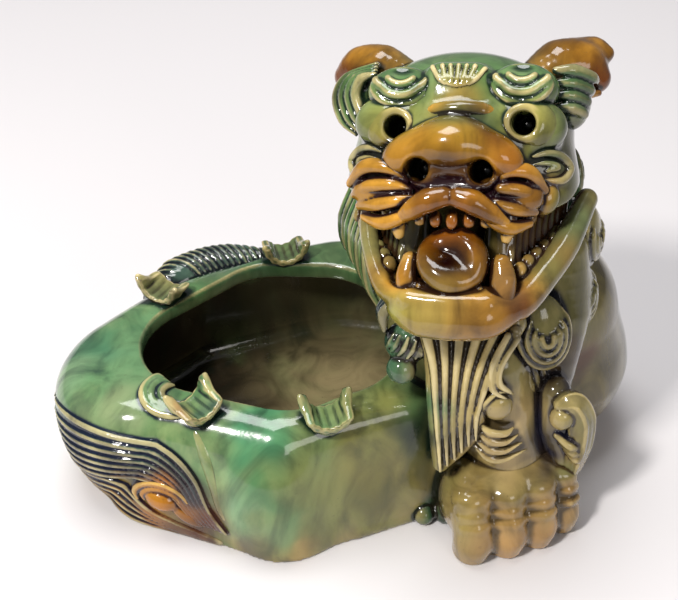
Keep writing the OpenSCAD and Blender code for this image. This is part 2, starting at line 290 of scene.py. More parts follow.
    def settle(self, points, height=0.0):
        """Moves points onto the surface, or to this height above it."""
        p = np.array(points, float)
        for _ in range(5):
            value, slope = self.read(p, slope=True)
            size = np.maximum((slope ** 2).sum(1), 0.2)
            p = p - np.clip((value - height) / size, -3, 3)[:, None] * slope
        return p

    def normal(self, point):
        """The way out of the surface at a point."""
        slope = self.read(np.array([point], float), slope=True)[1][0]
        return slope / max(np.linalg.norm(slope), 1e-3)


def surface_cells(clay):
    """One point in each grid cell that the surface passes through, and which cell has which point."""
    f = clay.field
    inside = f < 0
    corner = [(a, b, c) for a in (0, 1) for b in (0, 1) for c in (0, 1)]
    nx, ny, nz = (n - 1 for n in f.shape)
    count = sum(inside[a:a + nx, b:b + ny, c:c + nz].astype(np.int8) for a, b, c in corner)
    at = np.argwhere((count > 0) & (count < 8))
    number = np.full((nx, ny, nz), -1, np.int32)
    number[tuple(at.T)] = np.arange(len(at))
    value = {k: f[at[:, 0] + k[0], at[:, 1] + k[1], at[:, 2] + k[2]] for k in corner}
    total, crossings = np.zeros((len(at), 3)), np.zeros(len(at))
    for a in corner:
        for axis in range(3):
            if a[axis]:
                continue
            b = tuple(v + (k == axis) for k, v in enumerate(a))
            crosses = (value[a] < 0) != (value[b] < 0)
            t = np.where(crosses, value[a] / np.where(crosses, value[a] - value[b], 1), 0)
            place = np.tile(np.array(a, float), (len(at), 1))
            place[:, axis] += t
            total += place * crosses[:, None]
            crossings += crosses
    return clay.low + clay.step * (at + total / crossings[:, None]), number


def surface_quads(inside, number):
    """A quad round each grid edge that the surface crosses, facing out of the clay."""
    quads = []
    for axis in range(3):
        u, v = (axis + 1) % 3, (axis + 2) % 3
        low, high = [slice(1, -1)] * 3, [slice(1, -1)] * 3
        low[axis], high[axis] = slice(0, -1), slice(1, None)
        change = inside[tuple(low)].astype(np.int8) - inside[tuple(high)].astype(np.int8)
        edge = np.argwhere(change != 0)
        leaving = change[tuple(edge.T)] > 0
        base = edge + 1
        base[:, axis] -= 1
        around = []
        for du, dv in ((0, 0), (-1, 0), (-1, -1), (0, -1)):
            cell = base.copy()
            cell[:, u] += du
            cell[:, v] += dv
            around.append(number[tuple(cell.T)])
        quad = np.stack(around, 1)
        quad[~leaving] = quad[~leaving][:, ::-1]
        quads.append(quad)
    return np.concatenate(quads)


def skin(clay):
    """A mesh of quads over the clay's surface: surface nets, then each point is moved onto the surface."""
    points, number = surface_cells(clay)
    quads = surface_quads(clay.field < 0, number)
    for _ in range(3):
        here, slope = clay.read(points, slope=True)
        size = np.maximum((slope ** 2).sum(1), 0.3)
        points = points - np.clip(here / size, -0.3, 0.3)[:, None] * slope * 0.9
    return without_specks(points, quads)


def without_specks(points, quads):
    """The same mesh without the closed bubbles of a few quads that shut between two strands."""
    label = np.arange(len(points))
    while True:
        lowest = label.copy()
        np.minimum.at(lowest, quads.ravel(), np.repeat(label[quads].min(1), 4))
        lowest = lowest[lowest]
        if (lowest == label).all():
            break
        label = lowest
    piece_of = label[quads[:, 0]]
    kept = quads[np.bincount(piece_of, minlength=len(points))[piece_of] >= SPECK]
    used, numbers = np.unique(kept, return_inverse=True)
    return points[used], numbers.reshape(kept.shape)


# ---------- ways of modelling hair ----------

def comb(clay, edge_a, edge_b, strands, radius, bed=None, lift=0.35, taper=(0.6, 1.0, 0.7), sheet=0):
    """Strands side by side between two edge paths. On a bed they lie on a thin sheet of clay."""
    steps = 6 * (max(len(edge_a), len(edge_b)) - 1) + 1
    a, b = curve(edge_a, steps), curve(edge_b, steps)
    widths = spread(taper, steps)
    if sheet:
        sheet = sheet * np.clip(widths * 2, 0.3, 1)
        for share in np.linspace(0, 1, 2 * strands - 1):
            path = bed.settle(a + (b - a) * share, 0.25 * widths - sheet)
            clay.tube(path, sheet, blend=1.0, steps=steps)
    room = np.linalg.norm(b - a, axis=1) / (strands - 1)
    thickness = np.minimum(radius * widths, 0.42 * room)
    for share in np.linspace(0, 1, strands):
        path = a + (b - a) * share
        if bed is not None:
            path = bed.settle(path, lift - 0.9 * np.clip(0.6 - widths, 0, 1))
        clay.tube(path, thickness, blend=0.1, steps=steps)


def lock(clay, path, radii, normal, strands=4, rib=0.36):
    """A lock of hair: a tapering rope, with strands modelled along its outer side."""
    steps = 6 * (len(path) - 1) + 1
    p = curve(path, steps)
    r = spread(radii, steps)
    clay.tube(p, r, blend=1.2, steps=steps)
    along = np.gradient(p, axis=0)
    along /= np.linalg.norm(along, axis=1)[:, None]
    out = np.array(normal, float) - along * (along @ np.array(normal, float))[:, None]
    out /= length(out)
    side = np.cross(along, out)
    for angle in np.radians(np.linspace(-68, 68, strands)):
        place = p + (out * math.cos(angle) + side * math.sin(angle)) * (r * 0.86)[:, None]
        clay.tube(place, r * rib, blend=0.15, steps=steps)


def plane_axes(normal, up):
    """Across, up and out for a flat detail that faces along the normal."""
    normal = np.array(normal, float) / np.linalg.norm(normal)
    up = np.array(up, float) - normal * (np.array(up, float) @ normal)
    up = up / np.linalg.norm(up)
    return np.stack([np.cross(up, normal), up, normal], 1)


def snail(clay, at, size, normal, start, strand, depth, hand, up=(0, 0, 1), turns=1.8):
    """A curl: a low button of clay with a spiral strand wound on it, one way or the other by its hand."""
    axes = plane_axes(normal, up)
    clay.egg(at, (size, size, size * depth), turn=axes, blend=0.8)
    count = int(16 * turns)
    angle = math.radians(start) + hand * np.linspace(0, math.tau * turns, count)
    radius = np.linspace(size * 0.95, size * 0.1, count)
    dome = size * depth * np.sqrt(np.clip(1 - (radius / (size * 1.02)) ** 2, 0, 1))
    path = np.stack([radius * np.cos(angle), radius * np.sin(angle), dome], 1) @ axes.T + np.array(at)
    clay.tube(path, strand * np.linspace(1.1, 0.8, count), blend=0.15, steps=count)


PIECES = {}      # the clay and the glaze of each piece that has been modelled


def piece(name, slot, pose, step, model, *details):
    """Models one piece. Later pieces can lie on it."""
    clay = Clay(pose, step)
    model(clay, *details)
    PIECES[name] = (clay, slot)


# ---------- the body ----------

# Round corners of the body's outline: [x, y, radius at the waist, waist, tuck below, draw above]
BODY_CORNERS = (
    (-49, -4, 25, 24, 7, 4.5),
    (-45, -13, 17.5, 10, 1, 6.3),
    (-16, -28, 16, 6, 0, 9),
    (24, -16, 16, 6, 0, 6.3),
    (50, 14, 22, 15, 5, 4.5),
    (6, 24, 24, 15, 5, 4.5),
    (-28, 17, 22, 20, 6, 3))
RIM = 38         # heights and thickness, in mm
FLOOR = 6
WALL = 5
VENT = 8         # radius of the hole under the chest
# Round corners of the opening: [x, y, radius]
OPENING = ((-30, 0, 20), (-12, -8, 19.5), (-1, -5, 18), (-2, 12, 19), (-14, 14, 18.5))


def outline_distance(x, y, corners):
    """Distance in plan from a round-cornered outline whose corners are (x, y, radius), in turn."""
    best = FAR
    turning = np.zeros(np.broadcast(x, y).shape, bool)
    for (ax, ay, ar), (bx, by, br) in zip(corners, corners[1:] + corners[:1]):
        vx, vy = bx - ax, by - ay
        t = np.clip(((x - ax) * vx + (y - ay) * vy) / (vx * vx + vy * vy), 0, 1)
        best = np.minimum(best, np.hypot(x - ax - t * vx, y - ay - t * vy) - (ar + (br - ar) * t))
        if ay != by:
            turning ^= ((ay > y) != (by > y)) & (x < ax + (y - ay) * vx / vy)
    return np.where(turning, np.minimum(best, -12), best)


def body_side(x, y, z):
    """Distance from the body's sides, which swell at the waist and draw in towards the rim."""
    corners = []
    for cx, cy, radius, waist, tuck, draw in BODY_CORNERS:
        below = np.clip(1 - z / waist, 0, 1) ** 2
        above = np.clip((z - waist) / (RIM + 2 - waist), 0, 1.2) ** 2.5
        corners.append((cx, cy, radius - tuck * below - draw * above))
    return outline_distance(x, y, tuple(corners))


def bowl_body(clay):
    """The body with its bulging near flank and the grooves beside the haunches, hollowed out and opened."""
    def outside(x, y, z):
        rounding = 4.5 + 3.5 * np.clip(-(x + 4) / 22, 0, 1) + 0 * y
        lid = z - (RIM + 0.5 - 0.006 * np.clip(-48 - x, 0, 40) ** 2)
        return np.maximum(smooth_high(body_side(x, y, z), lid, rounding), -z)

    clay.shape((-78, -48, 0), (76, 52, RIM + 2), outside, blend=0)
    clay.egg((-19, -35, 15), (11, 9, 15), turn=turn_z(-12), blend=6)
    clay.egg((-14, -37, 2), (9, 7, 12), blend=5)
    clay.tube([(-31, -43, 27), (-33, -43, 14), (-31, -46, 2)], 2.2, blend=3, cut=True)
    clay.tube([(4, -37.5, 1.5), (24, -30.5, 1.5)], 1.6, blend=1.0)
    clay.tube([(-44, 40, 30), (-46, 41, 14), (-44, 42, 2)], 2.2, blend=3, cut=True)

    def hollow(x, y, z):
        return smooth_high(smooth_high(body_side(x, y, z) + WALL, FLOOR - z, 5), z - (RIM - WALL), 2)

    clay.shape((-70, -42, FLOOR), (30, 46, RIM), hollow, blend=1.5, cut=True)

    def opening(x, y, z):
        return np.maximum(outline_distance(x, y, OPENING), FLOOR + 16 - z)

    clay.shape((-51, -30, FLOOR + 16), (22, 35, RIM + 4), opening, blend=1.6, cut=True)
    clay.flat()


def torso_shell(clay):
    """Ropes of clay that blend into chest, shoulders and neck, with the vent hole below."""
    for start, end, radii in (
            ((58, 6, 24), (57, 4, 42), (24.3, 19.5)), ((36, -10, 20), (36, -6, 52), (18, 21)),
            ((58, 6, 24), (36, -10, 20), (24.3, 18)), ((57, 4, 42), (36, -6, 52), (19.5, 21)),
            ((40, -5, 50), (36, -2, 80), (22, 20))):
        clay.tube([start, end], radii, blend=6)
    clay.tube([(58, 6, -2), (58, 6, 10)], VENT, blend=1, cut=True)
    clay.flat()


def rump_tail(clay):
    """The tail comes round the rump, lies along the far side and curls up at its tip."""
    path = [(-64, 16, 12), (-54, 31, 9), (-40, 38, 9), (-26, 41, 11), (-14, 44, 15),
            (-10, 45, 22), (-16, 43, 27), (-23, 41, 25)]
    lock(clay, path, (4.6, 4.8, 4, 3.2, 2.6), (-0.3, 0.9, 0.3), strands=5, rib=0.3)
    clay.flat()


# Each rest's place on the rim, its turn about Z and its glaze
RESTS = {"rest_near_left": (-36, -27, 38, "green"), "rest_near_right": (-3.5, -33, 8, "green"),
         "rest_far_left": (-44, 21, -35, "cream"), "rest_far_right": (-10, 36, 8, "olive")}
BEND = 5.4       # radius that a rest's strip is bent to, in mm
BEND_UP = 6.4    # how high the middle of the bend is above the rest's foot
HALF_STRIP = 0.95        # half of the strip's thickness, and of its length along the groove
HALF_LENGTH = 4.6


def cigarette_rest(clay, name):
    """A strip of clay bent into a U, combed inside, with its inner ends pinched up into two horns."""
    rx, ry, turn, _ = RESTS[name]
    axes = turn_z(turn)
    inward = 1 if ry < 0 else -1
    base = box_mm(name)[0][2]

    def distance(x, y, z):
        u = (x - rx) * axes[0, 0] + (y - ry) * axes[1, 0]
        v = ((x - rx) * axes[0, 1] + (y - ry) * axes[1, 1]) * inward
        w = z - base - 0.02 * v ** 2
        ribs = 0.16 * np.cos(np.arctan2(u, BEND_UP - w) * 13)
        strip = np.abs(np.hypot(u, w - BEND_UP) - BEND) - HALF_STRIP + ribs
        top = w - (BEND + 0.3 * v)
        return smooth_high(smooth_high(strip, top, 0.7), np.abs(v) - HALF_LENGTH, 0.9)

    clay.shape((rx - 9, ry - 9, base - 1), (rx + 9, ry + 9, base + 9), distance, blend=0)
    for side in (-1, 1):
        horn = ((side * 5.2, 1.6 * inward, 4.8), (side * 5.7, 2.8 * inward, 6.2),
                (side * 6.2, 3.4 * inward, 7.4))
        clay.tube([axes @ np.array(p) + (rx, ry, base) for p in horn], (1.3, 1.2, 0.7), blend=1.2)
    clay.egg((rx, ry, base - 0.6), (3.4, 3.4, 1.5), blend=0.8)


def at_haunch(far):
    """A function that places points drawn for a haunch: x along the side to the hock, -y outward."""
    spot, turn = ((-48, 34), -14) if far else ((-54, -29), -22)

    def place(*points):
        placed = [turn_z(turn) @ np.array(point, float) for point in points]
        return [np.array([spot[0] + x, spot[1] + (-y if far else y), z]) for x, y, z in placed]
    return place


def near_haunch_swirl(clay):
    """A ridge that curls round a hollow beside the rest, and goes on as the top edge of the hair."""
    place = at_haunch(False)
    bed = PIECES["bowl_body"][0]
    angles = np.radians(np.linspace(120, 300, 8))
    for ring, lift in ((8.6, 0.4), (6.6, 0.2), (4.2, 0.1)):
        path = place(*[(9 + ring * math.cos(a), 13 + 0.85 * ring * math.sin(a), RIM + 1) for a in angles])
        clay.tube(bed.settle(path, lift), (0.7,) + (1.3,) * 6 + (0.7,), blend=0.3, steps=32)
    border = place((13, 6, RIM), (17, 4, RIM - 3), (20, 2, RIM - 9), (22.6, 1, RIM - 17), (25, 0, 13),
                   (30, -1, 7))
    clay.tube(bed.settle(border, -1.5), (1.0, 1.9, 2.1, 2.0, 1.8, 1.0), blend=0.6, steps=25)


def far_haunch_swirl(clay):
    """A low hump along the far rim, ribbed across on the slant."""
    steps = 41
    path = curve([(-47, 24, 33.6), (-41, 31, 35), (-32, 36, 35.6), (-22, 38.5, 35), (-11, 39.5, 33.5)], steps)
    thick = np.interp(np.linspace(0, 1, steps), (0, 0.3, 0.7, 1), (3.4, 6, 5.2, 3))
    clay.tube(path, thick, blend=0, steps=steps)
    along = np.gradient(path, axis=0)
    up = np.array((0, 0, 1))
    for k in range(2, steps - 1, 2):
        way = along[k] / np.linalg.norm(along[k])
        side = np.cross(way, up)
        rib = [path[k] + thick[k] * (math.cos(a) * side + math.sin(a) * up + 0.5 * math.cos(a) * way)
               for a in np.radians(np.linspace(-20, 200, 13))]
        clay.tube(rib, 0.75, blend=0.1, steps=13)


def flank_hair(clay, far):
    """Bundles of strands that sweep along the haunch: two of them, or one where the tail is in the way."""
    place = at_haunch(far)
    bed = PIECES["bowl_body"][0]
    top = place((-28, 15, 28), (-17, 5, 31), (-3, 0, 32), (9, 0, 30), (17, 1, 23), (21, 0.5, 14),
                (26, -1, 7))
    foot = place((-27, 12, 13.4), (-17, 3, 14.6), (-7, 0, 17.4), (1, -1, 19), (8, -1, 18), (13, -1, 13),
                 (17, -1, 7.5))
    comb(clay, top, foot, 7, 0.85, bed=bed, lift=0.5, taper=(0.1, 0.9, 1, 1, 1, 0.9, 0.6), sheet=1.2)
    if not far:
        top = place((-25, 12, 12), (-16, 4, 13), (-8, 0, 15), (-2, -0.5, 13), (4, -0.5, 7),
                    (11, -0.4, 4.4), (18, 0.2, 3), (24, 0.6, 1.6))
        foot = place((-22, 11, 2), (-15, 5, 1.4), (-8, 1, 1), (-1, 0, 0.8), (6, -0.3, 0.8),
                     (12, -0.2, 0.7), (17, 0.3, 0.6), (22, 0.8, 0.5))
        comb(clay, top, foot, 5, 0.8, bed=bed, lift=0.4, taper=(0.1, 0.9, 1.0, 1.0, 0.8, 0.3), sheet=1.0)
        clay.flat()


def hock_curl(clay, far):
    """Arcs of hair wound over a plain oval knob, with a second lump below."""
    place = at_haunch(far)
    bed = PIECES["bowl_body"][0]
    mx, my, mz = middle = (8, -1, 13)
    angles = np.radians(np.linspace(200, 10, 9))
    for ring in (4.6, 6.6):
        arc = [(mx + 1.15 * ring * math.cos(a), my, mz + 0.85 * ring * math.sin(a)) for a in angles]
        radii = (0.6, 1.0, 1.1, 1.1, 1.1, 1.1, 1.0, 0.8, 0.5)
        clay.tube(bed.settle(place(*arc), 0.5), radii, blend=0.3, steps=33)
    for at, height, radii, tilt, blend in ((middle, 0.2, (4.6, 3.0, 3.2), 12, 0.5),
                                           ((15, -0.5, 8.5), -0.2, (5, 1.6, 2.4), 30, 1)):
        clay.egg(bed.settle(place(at), height)[0], radii, turn=turn_z(-22) @ turn_y(tilt), blend=blend)


def hind_foot(clay, at):
    """Two toes that show from under the body."""
    for toe in (-1, 1):
        clay.egg((at[0] + toe * 2.8, at[1], 2.2), (3.3, 4.4, 3.4), blend=0.5)
    clay.flat()


# ---------- the head ----------

def mouth_side(clay, side):
    """Cuts the mouth open to the side, and up under the cheek."""
    clay.tube(on_side(side, (6, 16, -19), (13, 8, -19.5), (13, -3, -17)), (8.5, 7.5, 5), blend=1.5, cut=True)
    under_cheek = on_side(side, (12, 15, -21.6), (20, 7, -17.8), (26, 0, -12.8), (30, -7, -8.6))
    clay.tube(under_cheek, (8, 8, 7.6, 6), blend=1.2, cut=True)


def gum_ribs(clay, side, count=9):
    """Upright ribs along the upper gum, each on a thicker rope of clay."""
    for rib in range(count):
        share = rib / (count - 1)
        foot, top = on_side(side, (13 + 10.4 * share, 9.6 - 12 * share, -24 + 10.8 * share),
                            (13.2 + 11.4 * share, 10 - 11.6 * share, -12 + 6.6 * share))
        clay.tube([foot - face(side * 3.4, 3, 0), top - face(side * 3.4, 3, 0)], 3.6, blend=0.8)
        clay.tube([foot, (foot + top) / 2 - face(side * 0.6, 1.6, 0), top], (1.0, 1.05, 0.9), blend=0.3)


def head_shell(clay):
    """The skull with its forehead block, eye mounds and cheeks, cut open for mouth, pupils and nostrils."""
    clay.egg(face(0, 0, 2), (25, 22, 20.5))
    clay.egg(face(0, -1, 9), (24, 17, 15.4), blend=4)
    clay.egg(face(0, 8, 4), (20, 12, 12), blend=4)
    clay.block(face(-0.6, 11.6, 15.2), (8.2, 6.4, 5.4), 4.6, turn=turn_x(-24), blend=1.6)
    for side in (-1, 1):
        clay.egg(face(side * 17, 2, -6), (10, 12, 11), blend=4)
        clay.egg(face(side * 14.6, 12.4, 7.4), (9.4, 6.4, 6.8), blend=1.5)
        clay.egg(face(side * 17.5, 10.5, -2), (6.5, 5, 4.5), blend=2)
    clay.egg(face(0, 22, -19), (13, 14, 9.5), blend=1.5, cut=True)
    for side in (-1, 1):
        mouth_side(clay, side)
        gum_ribs(clay, side)
        x, z = EYE_HOLES[side]
        clay.tube([face(x, 4, z), face(x, 24, z)], 2.6, blend=0.4, cut=True)
        nostril = NOSTRILS[side]
        clay.tube([face(nostril, 9, -2.6), face(nostril, 26, -2.8)], 2.6, blend=0.4, cut=True)


def muzzle(clay):
    """The nose, pierced by the nostrils, with the split upper lip below it and a roll across its root."""
    clay.egg(face(-0.8, 21.5, 3.0), (8.2, 6.4, 5.6), blend=0)
    clay.egg(face(0, 18.6, 5.4), (6.8, 5.2, 4), blend=3)
    for side, reach in ((-1, 1.0), (1, 0.9)):
        clay.egg(face(side * 8.6 * reach, 20.2, 1.6), (8, 5.2, 4.6), turn=turn_y(side * 24), blend=2.4)
        clay.egg(face(side * 12.6 * reach, 18.4, -1.8), (3.4, 3.6, 3.0), blend=1.8)
    clay.egg(face(0, 20, -4), (10.5, 4.6, 4.6), blend=1.2)
    clay.egg(face(0, 27.2, -5.2), (9.5, 4.2, 2.4), blend=1.4, cut=True)
    for side in (-1, 1):
        nostril = [face(NOSTRILS[side], 12, -2.8), face(NOSTRILS[side], 32, -2.8)]
        clay.tube(nostril, (2.4, 2.7), blend=1.4, cut=True)
        lip = on_side(side, (1.6, 24.4, -8.4), (5, 24.2, -9.4), (8.6, 22.6, -11.6), (11.6, 20.4, -13.6))
        clay.tube(lip, (2.3, 2.8, 2.3, 1.5), blend=0.5)
    clay.tube([face(0, 27.5, -6.5), face(0, 26.8, -12)], 0.5, blend=1.4, cut=True)
    roll = on_side(1, (-8.4, 17, 9), (-4.6, 18.8, 10.2), (0.4, 19.6, 10.8), (5.4, 18.8, 10.6), (9.4, 17, 9.8))
    clay.tube(roll, (0.9, 1.8, 1.9, 1.8, 0.9), blend=0.5)


def moustache(clay, side):
    """A puff of strands that fan from beside the nostril, out along the cheek and down over the mouth."""
    reach = 1.0 if side < 0 else 0.82
    clay.egg(face(side * 14 * reach, 16.6, -8), (8, 4.4, 4.6), blend=0)
    upper = on_side(side, (10.5, 20.2, -5.4), (14.5 * reach, 21.4, -2.6), (20 * reach, 19.4, -2.6),
                    (24 * reach, 15.4, -6.4))
    lower = on_side(side, (7.4, 21.8, -10.8), (11.4 * reach, 21.2, -13.4), (15.8 * reach, 19.2, -14.8),
                    (20.4 * reach, 15.8, -13.8))
    comb(clay, upper, lower, 4, 1.6, taper=(0.5, 1.0, 1.2, 0.8))
    clay.egg(face(side * 20 * reach, 16.6, -8), (3, 2, 3), blend=1)


def upper_teeth(clay):
    """A small row in front, then a fang and three back teeth on each side."""
    for i in range(-2, 3):
        clay.egg(face(i * 3.7, 19.6 - abs(i) * 0.5, -13.6), (1.5, 1.4, 2.3 - 0.3 * abs(i)), blend=0.2)
    for side in (-1, 1):
        clay.tube(on_side(side, (12.2, 17.8, -12), (12.4, 18, -15), (12, 18, -17.4)), (2.2, 1.9, 1.2))
        for i in range(3):
            clay.egg(face(side * (14.6 + i * 2), 12 - i * 4.4, -14.4 + i * 1.6), (1.5, 1.7, 2.0), blend=0.2)


def lower_teeth(clay):
    """A small row in front, then a fang and a row of beads that grow smaller on each side."""
    for i in range(-2, 3):
        clay.egg(face(i * 3.3, 20.6 - abs(i) * 0.4, -29.8), (1.5, 1.5, 2.2), blend=0.2)
    for side, across, thick in ((-1, 9.8, 2.5), (1, 11.8, 3.0)):
        fang = on_side(side, (across, 17.8, -31), (across, 18.6, -26.6), (across - 0.6, 18.4, -23))
        clay.tube(fang, (thick, thick, thick * 0.78))
        for share in (i / 6 for i in range(7)):
            bead = face(side * (15 + 10 * share), 12.4 - 13 * share, -25 + 10.6 * share)
            clay.egg(bead, (1.8 - 0.5 * share, 1.8 - 0.4 * share, 2.3 - 0.6 * share), blend=0.2)


def lower_jaw(clay):
    """A scooped-out jaw with a square chin, rolled lips that run up to its corners, and gums inside them."""
    clay.egg(face(0, 4, -28), (17, 17, 8.5), blend=0)
    clay.egg(face(0, -4, -20), (19, 12, 10), blend=5)
    clay.egg(face(0, 20, -13), (12, 13, 13.5), blend=1, cut=True)
    for side in (-1, 1):
        scoop = on_side(side, (6, 15, -23.5), (12, 6, -20), (14, -8, -14))
        clay.tube(scoop, (7.8, 7.5, 6), blend=1.5, cut=True)
    clay.egg(face(0, 12, -15), (14, 12, 11.5), blend=1.5, cut=True)
    clay.egg(face(0.6, 17.4, -34), (15, 6, 6.6), blend=2)
    clay.block(face(0.6, 18.8, -34.6), (10.4, 3.6, 4.4), 3.4, turn=turn_x(-16), blend=4)
    right = on_side(1, (9, 20.4, -32), (15, 15.4, -32), (20, 9.6, -26), (24.6, 3.4, -18.6),
                    (28.6, -4.6, -8.6))
    left = on_side(-1, (9, 20.4, -31.6), (15, 16, -30), (19.4, 10, -22.6), (21.6, 4.4, -15.6), (22, -3, -9))
    clay.tube(right, (2.6, 3.8, 3.6, 3.4, 2.6), blend=1.4)
    clay.tube(left, (2.4, 2.5, 2.2, 2.2, 2.0), blend=1.2)
    for side in (-1, 1):
        gum = on_side(side, (9, 17.4, -31.4), (14, 12.6, -28.6), (18, 6.4, -22.8), (22, 0.4, -16))
        clay.tube(gum, (2.0, 1.6, 1.6, 1.4), blend=0.4)
    clay.tube(on_side(1, (-9, 21.4, -31.4), (0, 22.2, -31.8), (9, 21.4, -31.6)), 1.8, blend=1.2)


def tongue(clay):
    """A cupped disc that tilts up out of the mouth: a ring with a thinner middle, on a thick root."""
    axes = np.stack([face(1, 0, 0), face(-0.1, -0.42, 0.9), face(0, 0.9, 0.42)], 1)
    middle = face(0.4, 19, -22.6)
    angles = np.linspace(0, math.tau, 33)
    ring = np.stack([5.3 * np.cos(angles), 5.0 * np.sin(angles), 0.8 * np.sin(2 * angles)], 1)
    clay.tube(ring @ axes.T + middle, 3.0, blend=0, steps=33)
    clay.egg(middle - axes[:, 2] * 1.2, (6, 6, 2.6), turn=axes, blend=2.4)
    clay.tube([face(0, 17, -27), face(0, 6, -27)], (6, 7.5), blend=2)


def eye(clay, side):
    """A raised ring round the pierced pupil, on a low mound."""
    x, z = EYE_HOLES[side]
    ring = [face(x + side * 3.7 * math.cos(a), 18.5 - 0.9 * math.cos(a), z + 3.6 * math.sin(a))
            for a in np.linspace(0, math.tau, 25)]
    clay.tube(ring, 0.85, blend=0, steps=25)
    clay.egg(face(x + side * 0.6, 15.6, z - 0.2), (6.6, 3.6, 5.6), blend=1.0)
    clay.tube([face(x, 8, z), face(x, 24, z)], 2.6, blend=0.5, cut=True)


def brow(clay, side):
    """Broad nested ridges in a U round a shallow hollow."""
    x, z = BROWS[side]
    clay.egg(face(x, 11.4, z), (8.2, 6.2, 5.8), blend=0)
    for rx, rz, thick in ((7.6, 7.2, 1.2), (5.4, 4.9, 1.2), (3.1, 2.6, 1.0)):
        angles = np.radians(np.linspace(176, 364, 13))
        path = [face(x + rx * math.cos(a), 18 - 0.14 * rz, z + 4.1 + rz * math.sin(a)) for a in angles]
        clay.tube(clay.settle(path, 0.2), (0.5, 0.9) + (thick,) * 9 + (0.9, 0.5), blend=0.1, steps=37)
    clay.egg(face(x, 15.6, z + 5), (3.2, 2.6, 1.3), blend=1.4, cut=True)


def forehead_tuft(clay):
    """Seven strands that spread up over the forehead."""
    bed = PIECES["head_shell"][0]
    for i in range(-3, 4):
        path = [face(i * 0.9 - 0.4, 19, 15.8 + 0.2 * abs(i)), face(i * 1.35 - 0.4, 17.6, 17.4),
                face(i * 1.8 - 0.4, 15, 19.2)]
        clay.tube(bed.settle(path, 0), (0.45, 0.78, 0.7), blend=0.1)


def temple_lock(clay, side):
    """Strands fan down from under the left ear. On the right they lie level, one above another."""
    def level(row):
        z = 20.6 - 2.7 * row
        return on_side(1, (20.6, 10 - 0.4 * row, z - 0.6), (24.4, 8.6 - 0.3 * row, z - 0.4),
                       (28.4 - 0.5 * row, 4.4, z - 1.6), (29.6 - 1.2 * row, -0.5, z - 2.4))

    def fanned(row):
        s = row / 3
        return on_side(-1, (20.4 + 0.6 * s, 9.6 - 5 * s, 18.4 + 2.6 * s),
                       (23.6 + 4.4 * s, 8.6 - 5 * s, 17.4 + 0.4 * s),
                       (25 + 5.6 * s, 7.4 - 5.6 * s, 14 - 0.6 * s),
                       (23.4 + 5.6 * s, 8 - 6 * s, 9.6 - 1.4 * s),
                       (22 + 3.4 * s, 8.6 - 5 * s, 6.6 - 1.8 * s))

    clay.egg(face(side * 24, 2, 13.5), (4.6, 5.4, 6.4), blend=0)
    for row in range(4):
        if side > 0:
            clay.tube(level(row), (0.9, 1.5, 1.4, 0.6), blend=0.1)
        else:
            clay.tube(fanned(row), (0.7, 1.4, 1.45, 1.3, 0.5), blend=0.1)


def ear(clay, side):
    """A plump ear with a rolled lower edge. The right one has a second fold at its tip."""
    if side < 0:
        flap = on_side(1, (-15, -3, 18.4), (-21, -4, 20.6), (-26, -5.4, 20.8), (-29.6, -6.4, 18.8))
        clay.tube(flap, (4.4, 5.8, 5.4, 3.6), blend=0)
    else:
        flap = on_side(1, (15, -3, 18.6), (20.5, -5, 22), (25.4, -6.4, 22.4), (29, -7, 19.6))
        clay.tube(flap, (4.4, 6.2, 5.8, 3.6), blend=0)
        fold = on_side(1, (24, -9, 25), (28, -9.6, 26.2), (31, -9.4, 25.4))
        clay.tube(fold, (3.6, 3.2, 2), blend=2.4)
    edge = on_side(side, (18, 1.4, 15.8), (22, 1.0, 16.4), (27, -1.4, 15.6), (30, -4, 16))
    clay.tube(edge, (0.8, 1.2, 1.2, 0.8), blend=0.5)


def cheek_curl(clay, side):
    """Two nested leaf-shaped lobes that open towards the nose, over the pad at the corner of the mouth."""
    outer = on_side(side, (16, 15.8, 1), (19.6, 15.2, 1.8), (23, 12.8, 1.2), (24.8, 10.4, -1.4),
                    (22.8, 12.4, -3.8), (18.6, 14.6, -3.8))
    inner = on_side(side, (16.6, 15.6, -1), (19.6, 15, -0.6), (21.8, 13.6, -1.4), (19.4, 14.6, -2.2))
    bed = PIECES["head_shell"][0]
    clay.tube(bed.settle(outer, 0.3), (0.5, 1.0, 1.2, 1.2, 1.1, 0.5), blend=0.2, steps=37)
    clay.tube(bed.settle(inner, 0.2), (0.5, 0.8, 0.9, 0.5), blend=0.2, steps=25)
    pad = bed.settle([face(side * 19.6, 13, -8)], -0.9)[0]
    clay.egg(pad, (3.6, 2.8, 4.2), blend=0.6)


# ---------- the mane ----------

def crown_mane(clay):
    """Two rows of five curls over the back of the head."""
    bed = PIECES["head_shell"][0]
    for row in range(2):
        for i in range(-2, 3):
            place = face(i * 8.4 + 2 * row, -13 - row * 6, 20 - row * 8 - abs(i) * 1.4)
            at = bed.settle([place], -0.8)[0]
            snail(clay, at, 5.0, bed.normal(at), up=face(0, 0.5, 1), start=40 * i, strand=0.95, depth=0.5,
                  hand=1 if i >= 0 else -1)


def back_mane(clay):
    """Four rows of five curls down the nape, wound one way on the left and the other on the right."""
    for row in range(4):
        for i in range(-2, 3):
            angle = math.radians(62 + i * 27 + 8 * (row % 2))
            out = np.array([math.cos(angle), math.sin(angle), 0.15])
            at = np.array([37, -3, 84 - row * 11]) + out * (21 + row)
            snail(clay, at, 6.4, out, turns=1.9, start=60 * i, strand=1.05, depth=0.6,
                  hand=1 if i >= 0 else -1)
            clay.egg(at - out * 3, (5, 5, 6), blend=1)


